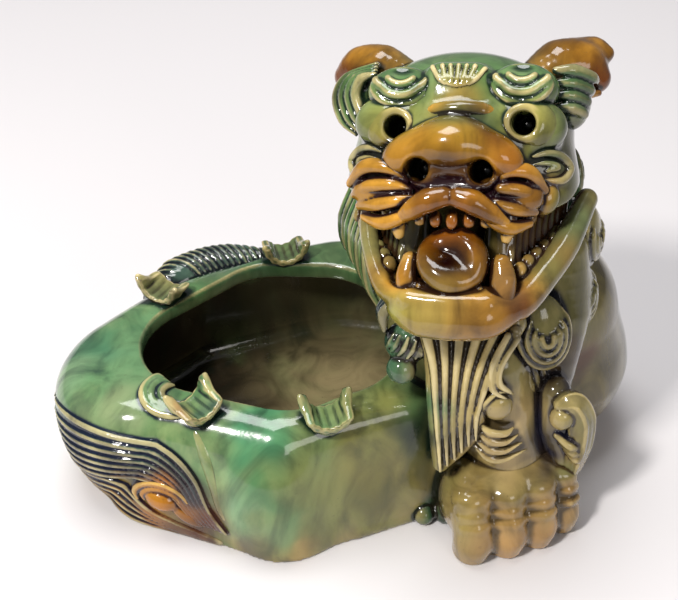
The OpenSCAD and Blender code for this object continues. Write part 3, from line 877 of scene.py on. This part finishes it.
def nested_lock(clay, at, width, height, normal, lean, arcs=4):
    """A comma-shaped lock: nested arcs that hang round a small eye, over a rounded lump."""
    axes = plane_axes(normal, (0, 0, 1)) @ turn_z(lean)
    clay.egg(at, (width, height, width * 0.62), turn=axes, blend=1.5)
    at = np.array(at, float)
    for k in range(arcs):
        share = 1 - k / arcs
        rx, ry = width * 0.95 * share, height * 0.92 * share
        angles = np.radians(np.linspace(125 + 12 * k, 395 - 8 * k, 15))
        flat = np.stack([rx * np.cos(angles), ry * np.sin(angles), 0 * angles], 1)
        rise = width * 0.62 * np.sqrt(np.clip(1.04 - share ** 2 * 0.95, 0.02, 1))
        clay.tube(at + (flat + (0, 0, rise)) @ axes.T, (0.5,) + (1.0,) * 13 + (0.5,), blend=0.15, steps=43)


def right_mane_locks(clay):
    """Four comma-shaped locks down the neck, with strokes of hair below the front one."""
    clay.tube([(56, -12, 72), (56, -16, 56), (54, -22, 42), (54, -24, 30)], (7, 8.5, 7, 5), blend=0)
    nested_lock(clay, (49.6, -27, 58.6), 6.6, 10, (0.1, -0.96, 0.28), 8)
    nested_lock(clay, (61, -15, 60), 5.6, 9.6, (0.62, -0.75, 0.2), 4)
    nested_lock(clay, (63.5, -8, 73), 5.4, 8.6, (0.85, -0.5, 0.1), 0)
    nested_lock(clay, (62, -12, 44), 5.2, 8, (0.75, -0.6, 0.1), -6)
    for row in range(4):
        path = [(43 + 2.3 * row, -30 + 0.8 * row, 52 - 0.8 * row),
                (45 + 2.3 * row, -32 + 1.2 * row, 45 - 0.8 * row),
                (48.6 + 2 * row, -30 + 1.6 * row, 39 + 0.6 * row)]
        clay.tube(path, (0.8, 1.3, 0.7), blend=0.2)


def left_mane_locks(clay):
    """Four locks that hang side by side from behind the jaw."""
    for i in range(4):
        path = [(14.6 - i, -4 + i * 7, 80 - i * 2), (11.8 - i, -7 + i * 7, 72 - i * 2),
                (12 - i, -8 + i * 7, 62 - i), (15, -9 + i * 7, 52)]
        lock(clay, path, (3.8, 4.6, 3.8, 2.0), (-1, -0.2, 0.1))


def left_throat_curl(clay):
    """Short strokes of hair swept back under the jaw, over a smooth knob."""
    clay.egg((17, -26, 57), (6, 4.6, 6), blend=0)
    clay.egg((15, -29.4, 51), (3.8, 3.6, 3.8), blend=1.2)
    for k in range(6):
        across = 10.6 + 2.1 * k
        path = [(across + 1.4, -28.6 - 0.6 * k, 62 - 0.5 * k),
                (across + 0.4, -29.6 - 0.5 * k, 59.6 - 0.5 * k),
                (across - 0.8, -29.2 - 0.4 * k, 57.4 - 0.6 * k)]
        clay.tube(clay.settle(path, 0.1), (0.5, 0.85, 0.5), blend=0.2)
    for row in range(3):
        path = [(13 - row * 0.6, -24 + 2 * row, 68 - row), (10.6, -25 + 2 * row, 65 - row),
                (11, -26 + 2 * row, 61 - row)]
        clay.tube(path, (1.0, 1.4, 0.8), blend=0.2)


def chest_mane(clay):
    """Long strands from under the chin. Each ends on the leg a little above its neighbour to the left."""
    for k in range(6):
        path = [(20 + 4.2 * k, -30 - 0.8 * k, 65), (22 + 2.7 * k, -34 - 0.6 * k, 56),
                (22.8 + 2.1 * k, -36 - 0.4 * k, 46), (23.6 + 1.75 * k, -37.6 - 0.35 * k, 36 + 1.2 * k),
                (24.6 + 1.65 * k, -39 - 0.1 * k, 24 + 2.2 * k)]
        clay.tube(np.array(path) + (0.6, 3.0, 0), (2.8, 2.7, 2.6, 2.6, 2.2), blend=1.6)
        clay.tube(path, (1.5, 1.15, 0.9, 0.78, 0.4), blend=0.1)
    for ring in range(2):
        path = [(41.4 - 2.4 * ring, -35.4, 64 + ring), (37.6 - 1.8 * ring, -37.4, 58),
                (37.4 - 1.4 * ring, -38, 52.4 - 1.6 * ring), (40.6 - ring, -38, 49 - 2 * ring)]
        clay.tube(path, (0.9, 1.1, 1.0, 0.5), blend=0.2)


# ---------- the forelegs ----------

def far_foreleg(clay):
    clay.tube([(66, 22, 13), (60, 20, 36)], (11.2, 12), blend=0)
    clay.flat()


def near_foreleg(clay):
    clay.tube([(46, -26, 16), (42, -20, 40)], (11.2, 12), blend=0)
    clay.tube([(44, -31.4, 14), (40.5, -28, 34), (39, -25.5, 48)], (9.5, 9.6, 9), blend=4)
    clay.flat()


NEAR_PAW = 36    # its width, for which the toes are drawn


def paw(clay, at, turn, width):
    """A broad fist with four toes: smooth pads, two folds across each, and a row of knuckles."""
    axes = turn_z(turn)
    scale = width / NEAR_PAW

    def place(x, y, z):
        return axes @ np.array([x * scale, y, z], float) + np.array(at, float)

    clay.egg(place(0, 6, 9), (width * 0.46, 12, 14), turn=axes, blend=0)
    clay.egg(place(-0.5, 2.4, 17), (width * 0.42, 8.5, 7.5), turn=axes, blend=4)
    clay.egg(place(-13, 2, 11), (6, 9.5, 10.5), turn=axes, blend=4)
    for across, half, back in ((-13.4, 5.1, 0.6), (-4, 4.8, 0), (4.8, 4.6, 0.8), (12.8, 4.0, 3.4)):
        half = half * scale
        pad = [place(across, back - reach, height)
               for reach, height in ((4.4, 14.5), (6.9, 9.4), (7.8, 6), (7.2, 2.6))]
        clay.tube(pad, (half * 0.9, half * 0.98, half * 1.04, half), blend=2.6)
        for height, forward in ((12.4, -10.5), (15.2, -8.8)):
            fold = [place(across + k * half * 0.7, back + forward + 1.5 * k * k, height - 0.5 * k * k)
                    for k in (-1, 0, 1)]
            clay.tube(fold, (0.5, 0.9, 0.5), blend=2.0)
        clay.egg(place(across * 0.98, back - 4.2, 17.8), (half * 0.98, 4.2, 3.2), turn=axes, blend=1.8)
    clay.flat()


def near_knee_curl(clay):
    """A soft knob over the knee, with low folds of hair below it."""
    clay.egg((38, -37.4, 44), (3.7, 2.5, 4), blend=0)
    clay.tube([(33.8, -37.6, 42.6), (34.8, -38.4, 47), (38, -37.6, 49.4), (41.4, -37, 47.6)],
              (0.5, 0.8, 0.8, 0.4), blend=0.4)
    for row in range(4):
        low = 38.6 - row * 2.6
        fold = [(32.6, -37.6, low + 1.2), (36.2, -39.5 - 0.4 * row, low - 1),
                (40, -39.7 - 0.4 * row, low - 1.7),
                (42.4 + 1.2 * row, -38.2 - 0.4 * row, low - 1.2 + 0.3 * row)]
        clay.tube(fold, (0.5, 1.2, 1.0, 0.3), blend=0.9)


def near_leg_tuft(clay):
    """A plump comma of hair that curls over a ball, with strands laid across its foot."""
    clay.tube([(54, -31, 42), (54.6, -32.4, 32), (57, -33.6, 22)], (4, 4.6, 3.6), blend=0)
    hook = [(59.6, -36, 19), (60.2, -36, 28), (59.6, -36, 37), (57, -36, 42.4), (54, -36.4, 42.4)]
    lock(clay, hook, (2.2, 3.3, 3.5, 3.2, 1.8), (0.1, -0.95, 0.25), strands=3, rib=0.3)
    clay.egg((54.4, -37.6, 39), (3.1, 2.8, 3.3), blend=0.3)
    for row in range(3):
        path = [(54 + 1.4 * row, -37.2, 32.6 - 2.4 * row), (57.4 + 0.9 * row, -39, 30.2 - 2.3 * row),
                (60.4 + 0.2 * row, -37.4, 28.4 - 2.3 * row)]
        clay.tube(path, (0.9, 1.3, 0.8), blend=0.3)


# ---------- what each piece is and which glaze it takes ----------

def pair(kind, glaze, model):
    """The left and the right piece of one kind, on the head."""
    return [(f"{word}_{kind}", glaze, HEAD, FINE, model, side) for word, side in SIDES.items()]


# Each piece: its name, its glaze, the axes it is drawn in, its grid step, its model and what that needs
MODELS = (
    ("bowl_body", "green", BODY, BROAD, bowl_body),
    ("torso_shell", "olive", BODY, COARSE, torso_shell),
    ("rump_tail", "green", BODY, COARSE, rump_tail),
    *((name, glaze, BODY, FINE, cigarette_rest, name) for name, (_, _, _, glaze) in RESTS.items()),
    ("near_haunch_swirl", "green", BODY, MEDIUM, near_haunch_swirl),
    ("far_haunch_swirl", "navy", BODY, FINE, far_haunch_swirl),
    ("near_flank_hair", "navy", BODY, FINE, flank_hair, False),
    ("far_flank_hair", "navy", BODY, MEDIUM, flank_hair, True),
    ("near_hock_curl", "honey", BODY, FINE, hock_curl, False),
    ("far_hock_curl", "honey", BODY, MEDIUM, hock_curl, True),
    ("near_hind_foot", "deep_green", BODY, MEDIUM, hind_foot, (25, -32)),
    ("far_hind_foot", "deep_green", BODY, MEDIUM, hind_foot, (26, 45)),
    ("head_shell", "green", HEAD, MEDIUM, head_shell),
    ("muzzle", "amber", HEAD, FINE, muzzle),
    *pair("moustache", "amber", moustache),
    ("upper_teeth", "honey", HEAD, FINE, upper_teeth),
    ("lower_jaw", "honey", HEAD, FINE, lower_jaw),
    ("lower_teeth", "honey", HEAD, FINE, lower_teeth),
    ("tongue", "amber", HEAD, FINE, tongue),
    *pair("eye", "olive", eye),
    *pair("brow", "green", brow),
    ("forehead_tuft", "cream", HEAD, FINE, forehead_tuft),
    *pair("temple_lock", "green", temple_lock),
    *pair("ear", "amber", ear),
    *pair("cheek_curl", "green", cheek_curl),
    ("crown_mane", "deep_green", HEAD, MEDIUM, crown_mane),
    ("back_mane", "deep_green", BODY, COARSE, back_mane),
    ("left_mane_locks", "green", BODY, MEDIUM, left_mane_locks),
    ("right_mane_locks", "olive", BODY, MEDIUM, right_mane_locks),
    ("left_throat_curl", "navy", BODY, FINE, left_throat_curl),
    ("chest_mane", "cream", BODY, FINE, chest_mane),
    ("near_foreleg", "olive", BODY, COARSE, near_foreleg),
    ("near_paw", "olive", BODY, MEDIUM, paw, (45, -37, 0), 10, NEAR_PAW),
    ("near_knee_curl", "olive", BODY, FINE, near_knee_curl),
    ("near_leg_tuft", "olive", BODY, FINE, near_leg_tuft),
    ("far_foreleg", "olive", BODY, COARSE, far_foreleg),
    ("far_paw", "olive", BODY, COARSE, paw, (70, 19, 0), 80, 27))


# ---------- glazes ----------

def tint(text):
    """A colour written as six hex digits, as the linear red, green and blue that a shader wants, opaque."""
    values = [int(text[k:k + 2], 16) / 255 for k in (0, 2, 4)]
    return [v / 12.92 if v <= 0.04045 else ((v + 0.055) / 1.055) ** 2.4 for v in values] + [1.0]


# Each glaze: its body colour, the lighter colour it breaks to, where it pools and on ridges
GLAZES = {
    "green": ("48683a", "7a8a58", "0c2018", "b0a070"),
    "deep_green": ("2e4a34", "566c4c", "0a1214", "8c8458"),
    "olive": ("6c683a", "8c8250", "261c10", "b4a26c"),
    "amber": ("704a0c", "9a6c1e", "180604", "c08c34"),
    "honey": ("94661c", "b4883a", "241006", "c09c54"),
    "cream": ("8c7c4a", "b0a06a", "221c12", "c8b888"),
    "navy": ("1c2834", "3e5048", "080c16", "aa9f74")}

SPECK_COLOUR = (0.05, 0.035, 0.02, 1.0)         # iron specks in every glaze
FACE_WOBBLE = 0.6        # how far the edges of the coloured spots wave, in mm
BODY_WOBBLE = 2.2


def on_face(*spots):
    """Spots whose places are given as points of the face."""
    return tuple((face(*at), *look) for at, *look in spots)


# Where one glaze has run over another, and a few spots of painted shade: [place, reach in mm, colour,
# strength]
BODY_RUNS_AND_SHADE = (
    ((-52, -4, 40), 26, "507450", 0.9), ((-10, -30, 38), 24, "567450", 0.8),
    ((4, 34, 40), 40, "3e5838", 0.85), ((-70, -6, 30), 10, "74906c", 0.7),
    ((-26, -42, 24), 8, "6c9670", 0.7), ((-17, -44, 25), 6, "1e6444", 0.9),
    ((-22, -36, 36), 6, "2c6848", 0.8), ((-15, -46, 13), 7, "3c7a54", 0.7),
    ((-20, -44, 12), 6, "6c8c60", 0.8), ((-64, 2, 36), 8, "2e5c44", 0.7), ((-9, -46, 14), 3, "a09458", 0.8),
    ((-8.6, -46, 8), 3, "a89a60", 0.8), ((-22, -34, 38), 8, "3c7a54", 0.8),
    ((8, -38, 20), 24, "74703a", 1.0), ((22, -32, 8), 16, "7c7446", 0.95),
    ((-24, -44, 2), 9, "94763a", 0.9), ((-8, -44, 1), 9, "9a8048", 0.9), ((4, -40, 1), 6, "9a8658", 0.8),
    ((-62, -22, 3), 14, "a0742e", 0.8), ((-44, -36, 4), 11, "8a5a20", 0.8),
    ((-47, -33, 13), 7, "9a5e12", 0.9), ((-36, -36, 10), 6, "5a2808", 0.9),
    ((-41, -29, 44), 4.5, "a07a50", 0.9), ((-36, -27, 38), 3.6, "24383c", 0.8),
    # On the right side the first two spots are the glaze's own olive and amber, darkened partly as painted
    # shade.
    ((78, 4, 40), 22, "4c3e12", 0.95), ((80, 2, 20), 12, "403a14", 0.9), ((74, 2, 6), 14, "7c6434", 0.8),
    ((48, -46, 6), 24, "a47e48", 1.0), ((42, -40, 20), 9, "7a7040", 0.8), ((54, -38, 19), 6, "566440", 0.7),
    ((40, -38, 38), 13, "b09868", 0.85), ((27, -34, 2), 6, "1e4a34", 1.0),
    ((54, -34, 30), 7, "10142a", 1.0), ((55, -32, 40), 6, "14142a", 1.0),
    ((56, -26, 47), 7, "32120e", 0.95), ((63, -20, 42), 8, "4a2410", 0.9),
    # The second spot here, on the right side, is darkened partly as painted shade.
    ((-30, 37, 40), 12, "3a4a44", 0.8), ((78, -2, 30), 12, "4a4218", 0.9),
    ((64, -16, 22), 12, "5a4c24", 0.9), ((20, -28, 42), 8, "246044", 0.8),
    ((22, -28, 32), 7, "0e241c", 0.9), ((16, -29, 52), 6, "3c6c4c", 0.9),
    ((28, -34, 58), 11, "b09c60", 0.5), ((14, -30, 60), 5, "3c5c40", 0.9),
    ((60, -14, 60), 10, "504c30", 0.7), ((-56, -20, 36), 8, "7c8460", 0.6))
# Inside the hollow: a dark base colour and spots that are mostly painted shadow (near black under the left
# rim, at the far left and under the near rim), over the floor's own grey-brown and olive.
INSIDE_GLAZE_AND_SHADOW = "2a2418"
INSIDE_RUNS_AND_SHADOW = (
    ((10, 6, 2), 34, "74684a", 1.0), ((14, -12, 14), 14, "6a6248", 0.9), ((2, 34, 22), 14, "3a3c26", 0.9),
    ((-44, 4, 14), 34, "0a0605", 1.0), ((-22, 34, 20), 17, "0e0a08", 1.0),
    ((-16, -24, 12), 14, "120c0a", 0.9))
FACE_RUNS_AND_SHADE = on_face(
    ((0, 0, -18), 20, "221008", 1.0), ((0, 14, 20), 13, "4c6c3c", 0.5), ((0, 17, 14), 6, "6c7440", 0.7),
    ((-16, 12, 17), 9, "4c7048", 0.4), ((16, 12, 17), 9, "50704a", 0.4), ((0, -10, 20), 17, "56684c", 0.9),
    ((-20, 12, 8), 9, "7a8248", 0.8), ((20, 10, 6), 9, "66744a", 0.8),
    ((-14, 18, 6.5), 7.5, "847e38", 0.86), ((15, 18, 8), 7.5, "847e38", 0.86),
    ((0, 19, 11), 6, "8c6a26", 0.9), ((-24, 6, -2), 10, "5c6444", 0.8), ((24, 4, 2), 10, "64604e", 0.9),
    ((20, 13, -1), 4, "2c5c40", 0.8), ((17, 2, -18), 13, "6c4420", 1.0), ((-17, 2, -18), 13, "5c3a1a", 1.0),
    ((0, 2, -18), 12, "180a08", 1.0), ((0, 24, 6), 5, "5c6028", 0.8), ((0, 29, 0), 8, "8a6416", 0.95),
    ((-14, 24, -1), 6, "8a621c", 0.9), ((14, 24, -1), 6, "8a5414", 0.9), ((-20, 18, -8), 8, "966c20", 0.9),
    ((19, 17, -8), 8, "8e601a", 0.9), ((24, 12, -9), 5, "686a34", 0.9), ((0, 25, -11), 9, "8e5e16", 0.9),
    ((-5, 23, -35), 11, "877438", 0.95), ((9, 22, -36), 8, "8a6222", 0.9),
    ((-14, 17, -34), 7, "80803a", 0.9), ((-20, 8, -20), 9, "78784a", 0.95),
    ((-23, -2, -10), 9, "6c7448", 0.9), ((15.6, 19, -31), 4.6, "4c1e08", 0.95),
    ((21, 8, -26), 7, "68683a", 0.95), ((26, 0, -16), 9, "5c6c46", 0.95), ((29, -6, -8), 7, "64704a", 0.9),
    ((0, 20, -13), 8, "8c4a0c", 0.95), ((-10, 19, -27), 5, "a06c1e", 0.9),
    ((12, 19, -28), 5, "86663a", 0.9), ((-32, -3, 16), 7, "54200c", 0.95),
    ((32, -4, 17), 7, "5c240e", 0.95), ((0.2, 21, -24), 5.4, "140303", 1.0),
    ((9, 24.4, 4), 3.6, "4c2a08", 0.8), ((3, 26, 3.4), 3, "6c5a1c", 0.6), ((-13, 20, 2), 3, "6a4410", 0.6),
    ((0, 21, 8.4), 5, "4c5630", 0.9), ((5, 21, 8), 4, "34342a", 0.8),
    ((-0.9, 25, -4.6), 5.6, "1e0a10", 1.0), ((-8, 22, -7), 4.4, "180812", 0.95),
    # The last four spots are painted shade: near black inside the bores of the pupils and the nostrils.
    ((8, 22, -7), 4.4, "180812", 0.95), ((-14.3, 9, 7.6), 5, "030202", 1.0),
    ((14.3, 9, 7.6), 5, "030202", 1.0), ((-7.9, 14, -3), 6, "030202", 1.0),
    ((6.2, 14, -3), 6, "030202", 1.0))

# Where the glaze pools in another colour than its own: [place, reach in mm, colour]
BODY_POOLS = (
    ((-60, -18, 22), 26, "0e1830"), ((-40, -36, 8), 14, "361406"), ((-10, 4, 8), 30, "1e180e"),
    ((44, -44, 8), 18, "4a3a1c"), ((40, -38, 36), 12, "4c4028"), ((56, -32, 34), 9, "10142a"),
    ((24, -34, 50), 14, "241c16"), ((20, -30, 36), 9, "081014"), ((56, -20, 60), 20, "141824"))
FACE_POOLS = on_face(
    ((0, 0, -18), 20, "160a06"), ((0, 26, -7), 12, "1c0810"), ((-18, 18, -8), 14, "1a0812"),
    ((18, 18, -8), 14, "1a0812"), ((0, 18, -24), 14, "1c0806"), ((-16, 14, 17), 14, "14281c"),
    ((16, 14, 17), 14, "14281c"), ((20, 3, -16), 12, "452814"), ((-20, 3, -16), 12, "3a2210"),
    ((24, 10, -27), 8, "101c20"))


def paint(points, spots, base=None, wobble=1.0):
    """Spots of colour with wavy edges, laid over each other in turn, and how far they cover the base."""
    points = points + wobble * np.sin(0.55 * points[:, (1, 2, 0)] + (0, 2, 4))
    points = points + 1.3 * wobble * np.sin(0.24 * points[:, (2, 0, 1)] + (1, 3, 5))
    colour = np.tile(np.array(tint(base) if base else [0.0] * 4), (len(points), 1))
    for at, reach, text, *strength in spots:
        away = np.sqrt(((points - np.array(at)) ** 2).sum(1)) / reach
        share = (np.exp(-away ** 3) * (strength[0] if strength else 1.0))[:, None]
        colour = colour * (1 - share) + np.array(tint(text)) * share
    colour[:, :3] /= np.maximum(colour[:, 3:], 1e-3)
    return colour


def inside_share(points):
    """Where the hollow's painted shadow and floor colour go: 1 on the hollow's own walls and floor, fading to
    0 a few millimetres below the lip.
    """
    x, y, z = points.T
    deep = np.clip((-1.5 - body_side(x, y, z)) / 2, 0, 1)
    low = np.clip((RIM - 4.5 - z + 1.2 * np.sin(0.4 * x)) / 4, 0, 1)
    return deep * low * (z > FLOOR - 1)


POOL_DEPTHS = (0.9, 1.8, 3.4)          # how far out of the surface other clay is looked for, in mm
BEND_REACHES = (-1.4, -0.7, 0.7, 1.4)  # how far along the surface its bend is measured


def relief(clay, local, normals):
    """How deep each point lies in a hollow among all the clay, and how sharply its own clay ridges there."""
    points, out_normals = clay.pose.out(local), normals @ clay.pose.turn.T
    pool = np.zeros(len(points))
    for depth in POOL_DEPTHS:
        out = np.full(len(points), FAR)
        for other, _ in PIECES.values():
            here = other.pose.inward(points + depth * out_normals)
            top = other.low + other.step * (np.array(other.field.shape) - 1)
            close = ((here > other.low) & (here < top)).all(1)
            if close.any():
                out[close] = np.minimum(out[close], other.read(here[close]))
        pool += np.clip(1 - out / depth, 0, 2) / 3
    side = np.cross(normals, (0.31, 0.52, 0.79))
    side /= length(side)
    other_side = np.cross(normals, side)
    bends = []
    for turn in np.radians((0, 45, 90, 135)):
        way = side * math.cos(turn) + other_side * math.sin(turn)
        bends.append(sum(clay.read(local + reach * way) / abs(reach) for reach in BEND_REACHES) / 4)
    hollow = np.clip(-1.6 * np.mean(bends, axis=0), 0, 1)
    return pool + hollow, np.clip(np.max(bends, axis=0), 0, 1)


def quad_mesh(name, points, quads):
    mesh = bpy.data.meshes.new(name)
    mesh.vertices.add(len(points))
    mesh.vertices.foreach_set("co", (points * MM).astype(np.float32).ravel())
    mesh.loops.add(quads.size)
    mesh.loops.foreach_set("vertex_index", quads.astype(np.int32).ravel())
    mesh.polygons.add(len(quads))
    mesh.polygons.foreach_set("loop_start", np.arange(0, quads.size, 4, dtype=np.int32))
    mesh.polygons.foreach_set("use_smooth", np.ones(len(quads), bool))
    mesh.update(calc_edges=True)
    mesh.validate()
    return mesh


def glaze_layers(name, clay, local, slot):
    """What the glaze's shader reads at each point: two colours and three shares."""
    _, normals = clay.read(local, slope=True)
    normals /= length(normals)
    pool, ridge = relief(clay, local, normals)
    if clay.pose is HEAD:
        runs, pools = paint(local, FACE_RUNS_AND_SHADE, wobble=FACE_WOBBLE), FACE_POOLS
    else:
        runs, pools = paint(local, BODY_RUNS_AND_SHADE, wobble=BODY_WOBBLE), BODY_POOLS
    # Inside the hollow, colour that is mostly painted shadow takes over from the outside colour.
    if name == "bowl_body":
        share = inside_share(local)[:, None]
        runs = runs * (1 - share) + paint(local, INSIDE_RUNS_AND_SHADOW, INSIDE_GLAZE_AND_SHADOW) * share
    pooled = paint(local, pools, GLAZES[slot][2])
    return {"runs": runs, "pooled": pooled}, {"pool": pool, "ridge": ridge, "cover": runs[:, 3]}


def build(name, materials):
    """Skins a piece, glazes it, names it after its CAD node and hides that node."""
    clay, slot = PIECES[name]
    local, quads = skin(clay)
    mesh = quad_mesh(name, clay.pose.out(local), quads)
    colours, shares = glaze_layers(name, clay, local, slot)
    for label, values in colours.items():
        layer = mesh.color_attributes.new(label, "FLOAT_COLOR", "POINT")
        layer.data.foreach_set("color", values.astype(np.float32).ravel())
    for label, values in shares.items():
        layer = mesh.attributes.new(label, "FLOAT", "POINT")
        layer.data.foreach_set("value", values.astype(np.float32))
    thing = bpy.data.objects.new("glazed_" + name, mesh)
    bpy.context.scene.collection.objects.link(thing)
    mesh.materials.append(materials[slot])
    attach(thing, "root")
    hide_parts(name)


def glaze_material(slot):
    """A glossy run glaze: mottled, thin and pale on the ridges, deep and dark where it pools."""
    base, lighter, _, ridge_colour = (tint(text) for text in GLAZES[slot])
    material = bpy.data.materials.new(slot + "_glaze")
    material.use_nodes = True
    tree = material.node_tree
    tree.nodes.clear()

    def feed(socket, value):
        """Links a node's output to a socket, or sets the socket to a value."""
        if isinstance(value, bpy.types.NodeSocket):
            tree.links.new(value, socket)
        else:
            socket.default_value = value

    def node(kind, settings=(), **inputs):
        """A node with its settings in (name, value) pairs and its inputs by name."""
        made = tree.nodes.new("ShaderNode" + kind)
        for key, value in settings:
            setattr(made, key, value)
        for key, value in inputs.items():
            feed(made.inputs[key.replace("_", " ")], value)
        return made

    def attribute(label):
        return node("Attribute", [("attribute_name", label)]).outputs

    def noise(vector, **inputs):
        return node("TexNoise", Vector=vector, **inputs).outputs["Fac"]

    def combined(kind, operation, first, second):
        made = node(kind, [("operation", operation)])
        feed(made.inputs[0], first)
        feed(made.inputs[1], second)
        return made.outputs[0]

    def times(first, second):
        return combined("Math", "MULTIPLY", first, second)

    def plus(first, second):
        return combined("Math", "ADD", first, second)

    def between(value, low, high, out_low=0.0, out_high=1.0):
        """Goes smoothly from the one outcome to the other while the value goes from low to high."""
        return node("MapRange", [("interpolation_type", "SMOOTHSTEP")], Value=value, From_Min=low,
                    From_Max=high, To_Min=out_low, To_Max=out_high).outputs["Result"]

    def mixed(share, first, second):
        made = node("Mix", [("data_type", "RGBA")])
        for socket, value in zip((0, 6, 7), (share, first, second)):
            feed(made.inputs[socket], value)
        return made.outputs[2]

    where = node("TexCoord").outputs["Object"]
    stretched = node("Mapping", Vector=where, Scale=(1.0, 1.0, 0.4)).outputs[0]
    cloud = noise(stretched, Scale=95.0, Detail=4.0, Roughness=0.6)
    broad = noise(stretched, Scale=38.0, Detail=3.0, Distortion=0.6)
    patch = noise(stretched, Scale=70.0, Detail=5.0, Distortion=1.6)
    grain = noise(where, Scale=900.0, Detail=3.0)
    runs, pooled = (attribute(label)["Color"] for label in ("runs", "pooled"))
    pool, ridge, painted = (attribute(label)["Fac"] for label in ("pool", "ridge", "cover"))
    drift = combined("Math", "SUBTRACT", cloud, 0.5)

    own = mixed(between(cloud, 0.38, 0.66), base, lighter)
    # The painted spots go over the glaze's own colour, with painted shade among them.
    colour = mixed(times(painted, between(broad, 0.32, 0.56, 0.8, 1.0)), own, runs)
    thin = between(plus(ridge, times(drift, 0.1)), 0.17, 0.34, 0.0, 0.76)
    colour = mixed(times(thin, between(painted, 0.7, 1.0, 1.0, 0.05)), colour, ridge_colour)
    deep = between(plus(pool, times(drift, 0.4)), 0.12, 0.52, 0.0, 0.97)
    colour = mixed(deep, colour, pooled)
    colour = mixed(between(patch, 0.48, 0.76, 0.0, 0.6), colour, pooled)
    colour = combined("VectorMath", "MULTIPLY", colour, between(patch, 0.34, 0.58, 1.3, 0.92))
    colour = mixed(between(grain, 0.66, 0.76, 0.0, 0.25), colour, SPECK_COLOUR)

    swell = plus(times(cloud, 0.7), times(grain, 0.03))
    bump = node("Bump", Height=swell, Strength=0.35, Distance=0.0009).outputs[0]
    shader = node("BsdfPrincipled", Base_Color=colour, Roughness=between(cloud, 0.3, 0.7, 0.1, 0.2), IOR=1.4,
                  Coat_Weight=0.6, Coat_IOR=1.45, Coat_Roughness=0.04, Normal=bump)
    tree.links.new(shader.outputs[0], node("OutputMaterial").inputs[0])
    return material


MATERIALS = {slot: glaze_material(slot) for slot in GLAZES}
for row in MODELS:
    piece(*row)
for name in PIECES:
    build(name, MATERIALS)


# ---------- the studio ----------

FLOOR_HALF = 3.0         # m
FLOOR_COLOUR = (0.66, 0.64, 0.65, 1)
DAYLIGHT = (0.97, 0.96, 1.0, 1)
# Each lamp: [name, place, what it shines at, width, height, watts, colour]
LAMPS = (
    ("window", (-0.36, -0.36, 0.66), (0, 0, 0.05), 0.085, 0.1, 6.0, (1.0, 0.97, 0.93)),
    ("ceiling", (-0.1, 0.15, 0.95), (0, 0, 0.04), 0.55, 0.45, 7.0, (1.0, 1.0, 1.0)),
    ("front_fill", (0.35, -0.75, 0.45), (0, 0, 0.06), 0.3, 0.3, 1.2, (1.0, 0.96, 0.92)))
CAMERA_AZIMUTH = -5      # degrees round the object
CAMERA_HEIGHT = 40       # degrees above the table
CAMERA_REACH = 0.35      # m
CAMERA_TARGET = Vector((BODY.at[0] * MM, BODY.at[1] * MM, 0.04))
CAMERA_LENS = 69.7       # mm, for a picture 36 mm wide
CAMERA_SHIFT = (0.0133, 0.0442)


def pale_floor():
    mesh = bpy.data.meshes.new("floor")
    corners = [(x * FLOOR_HALF, y * FLOOR_HALF, 0) for x, y in ((-1, -1), (1, -1), (1, 1), (-1, 1))]
    mesh.from_pydata(corners, [], [(0, 1, 2, 3)])
    floor = bpy.data.objects.new("floor", mesh)
    bpy.context.scene.collection.objects.link(floor)
    material = bpy.data.materials.new("floor_paper")
    material.use_nodes = True
    shader = material.node_tree.nodes["Principled BSDF"]
    shader.inputs["Base Color"].default_value = FLOOR_COLOUR
    shader.inputs["Roughness"].default_value = 0.75
    mesh.materials.append(material)


def area_light(name, at, aim, width, height, watts, colour):
    light = bpy.data.lights.new(name, "AREA")
    light.shape = "RECTANGLE"
    light.size, light.size_y = width, height
    light.energy = watts
    light.color = colour
    lamp = bpy.data.objects.new(name, light)
    lamp.location = at
    lamp.rotation_euler = (Vector(aim) - Vector(at)).to_track_quat("-Z", "Y").to_euler()
    bpy.context.scene.collection.objects.link(lamp)


def daylight():
    world = bpy.data.worlds.new("studio")
    bpy.context.scene.world = world
    world.use_nodes = True
    background = world.node_tree.nodes["Background"]
    background.inputs["Color"].default_value = DAYLIGHT
    background.inputs["Strength"].default_value = 0.22


def camera():
    lens = bpy.data.cameras.new("camera")
    lens.sensor_width = 36
    lens.lens = CAMERA_LENS
    lens.shift_x, lens.shift_y = CAMERA_SHIFT
    holder = bpy.data.objects.new("camera", lens)
    a, e = math.radians(CAMERA_AZIMUTH), math.radians(CAMERA_HEIGHT)
    way = Vector((math.sin(a) * math.cos(e), -math.cos(a) * math.cos(e), math.sin(e)))
    holder.location = CAMERA_TARGET + way * CAMERA_REACH
    holder.rotation_euler = (-way).to_track_quat("-Z", "Y").to_euler()
    bpy.context.scene.collection.objects.link(holder)
    bpy.context.scene.camera = holder


pale_floor()
for lamp in LAMPS:
    area_light(*lamp)
daylight()
camera()
bpy.context.scene.view_settings.view_transform = "Standard"
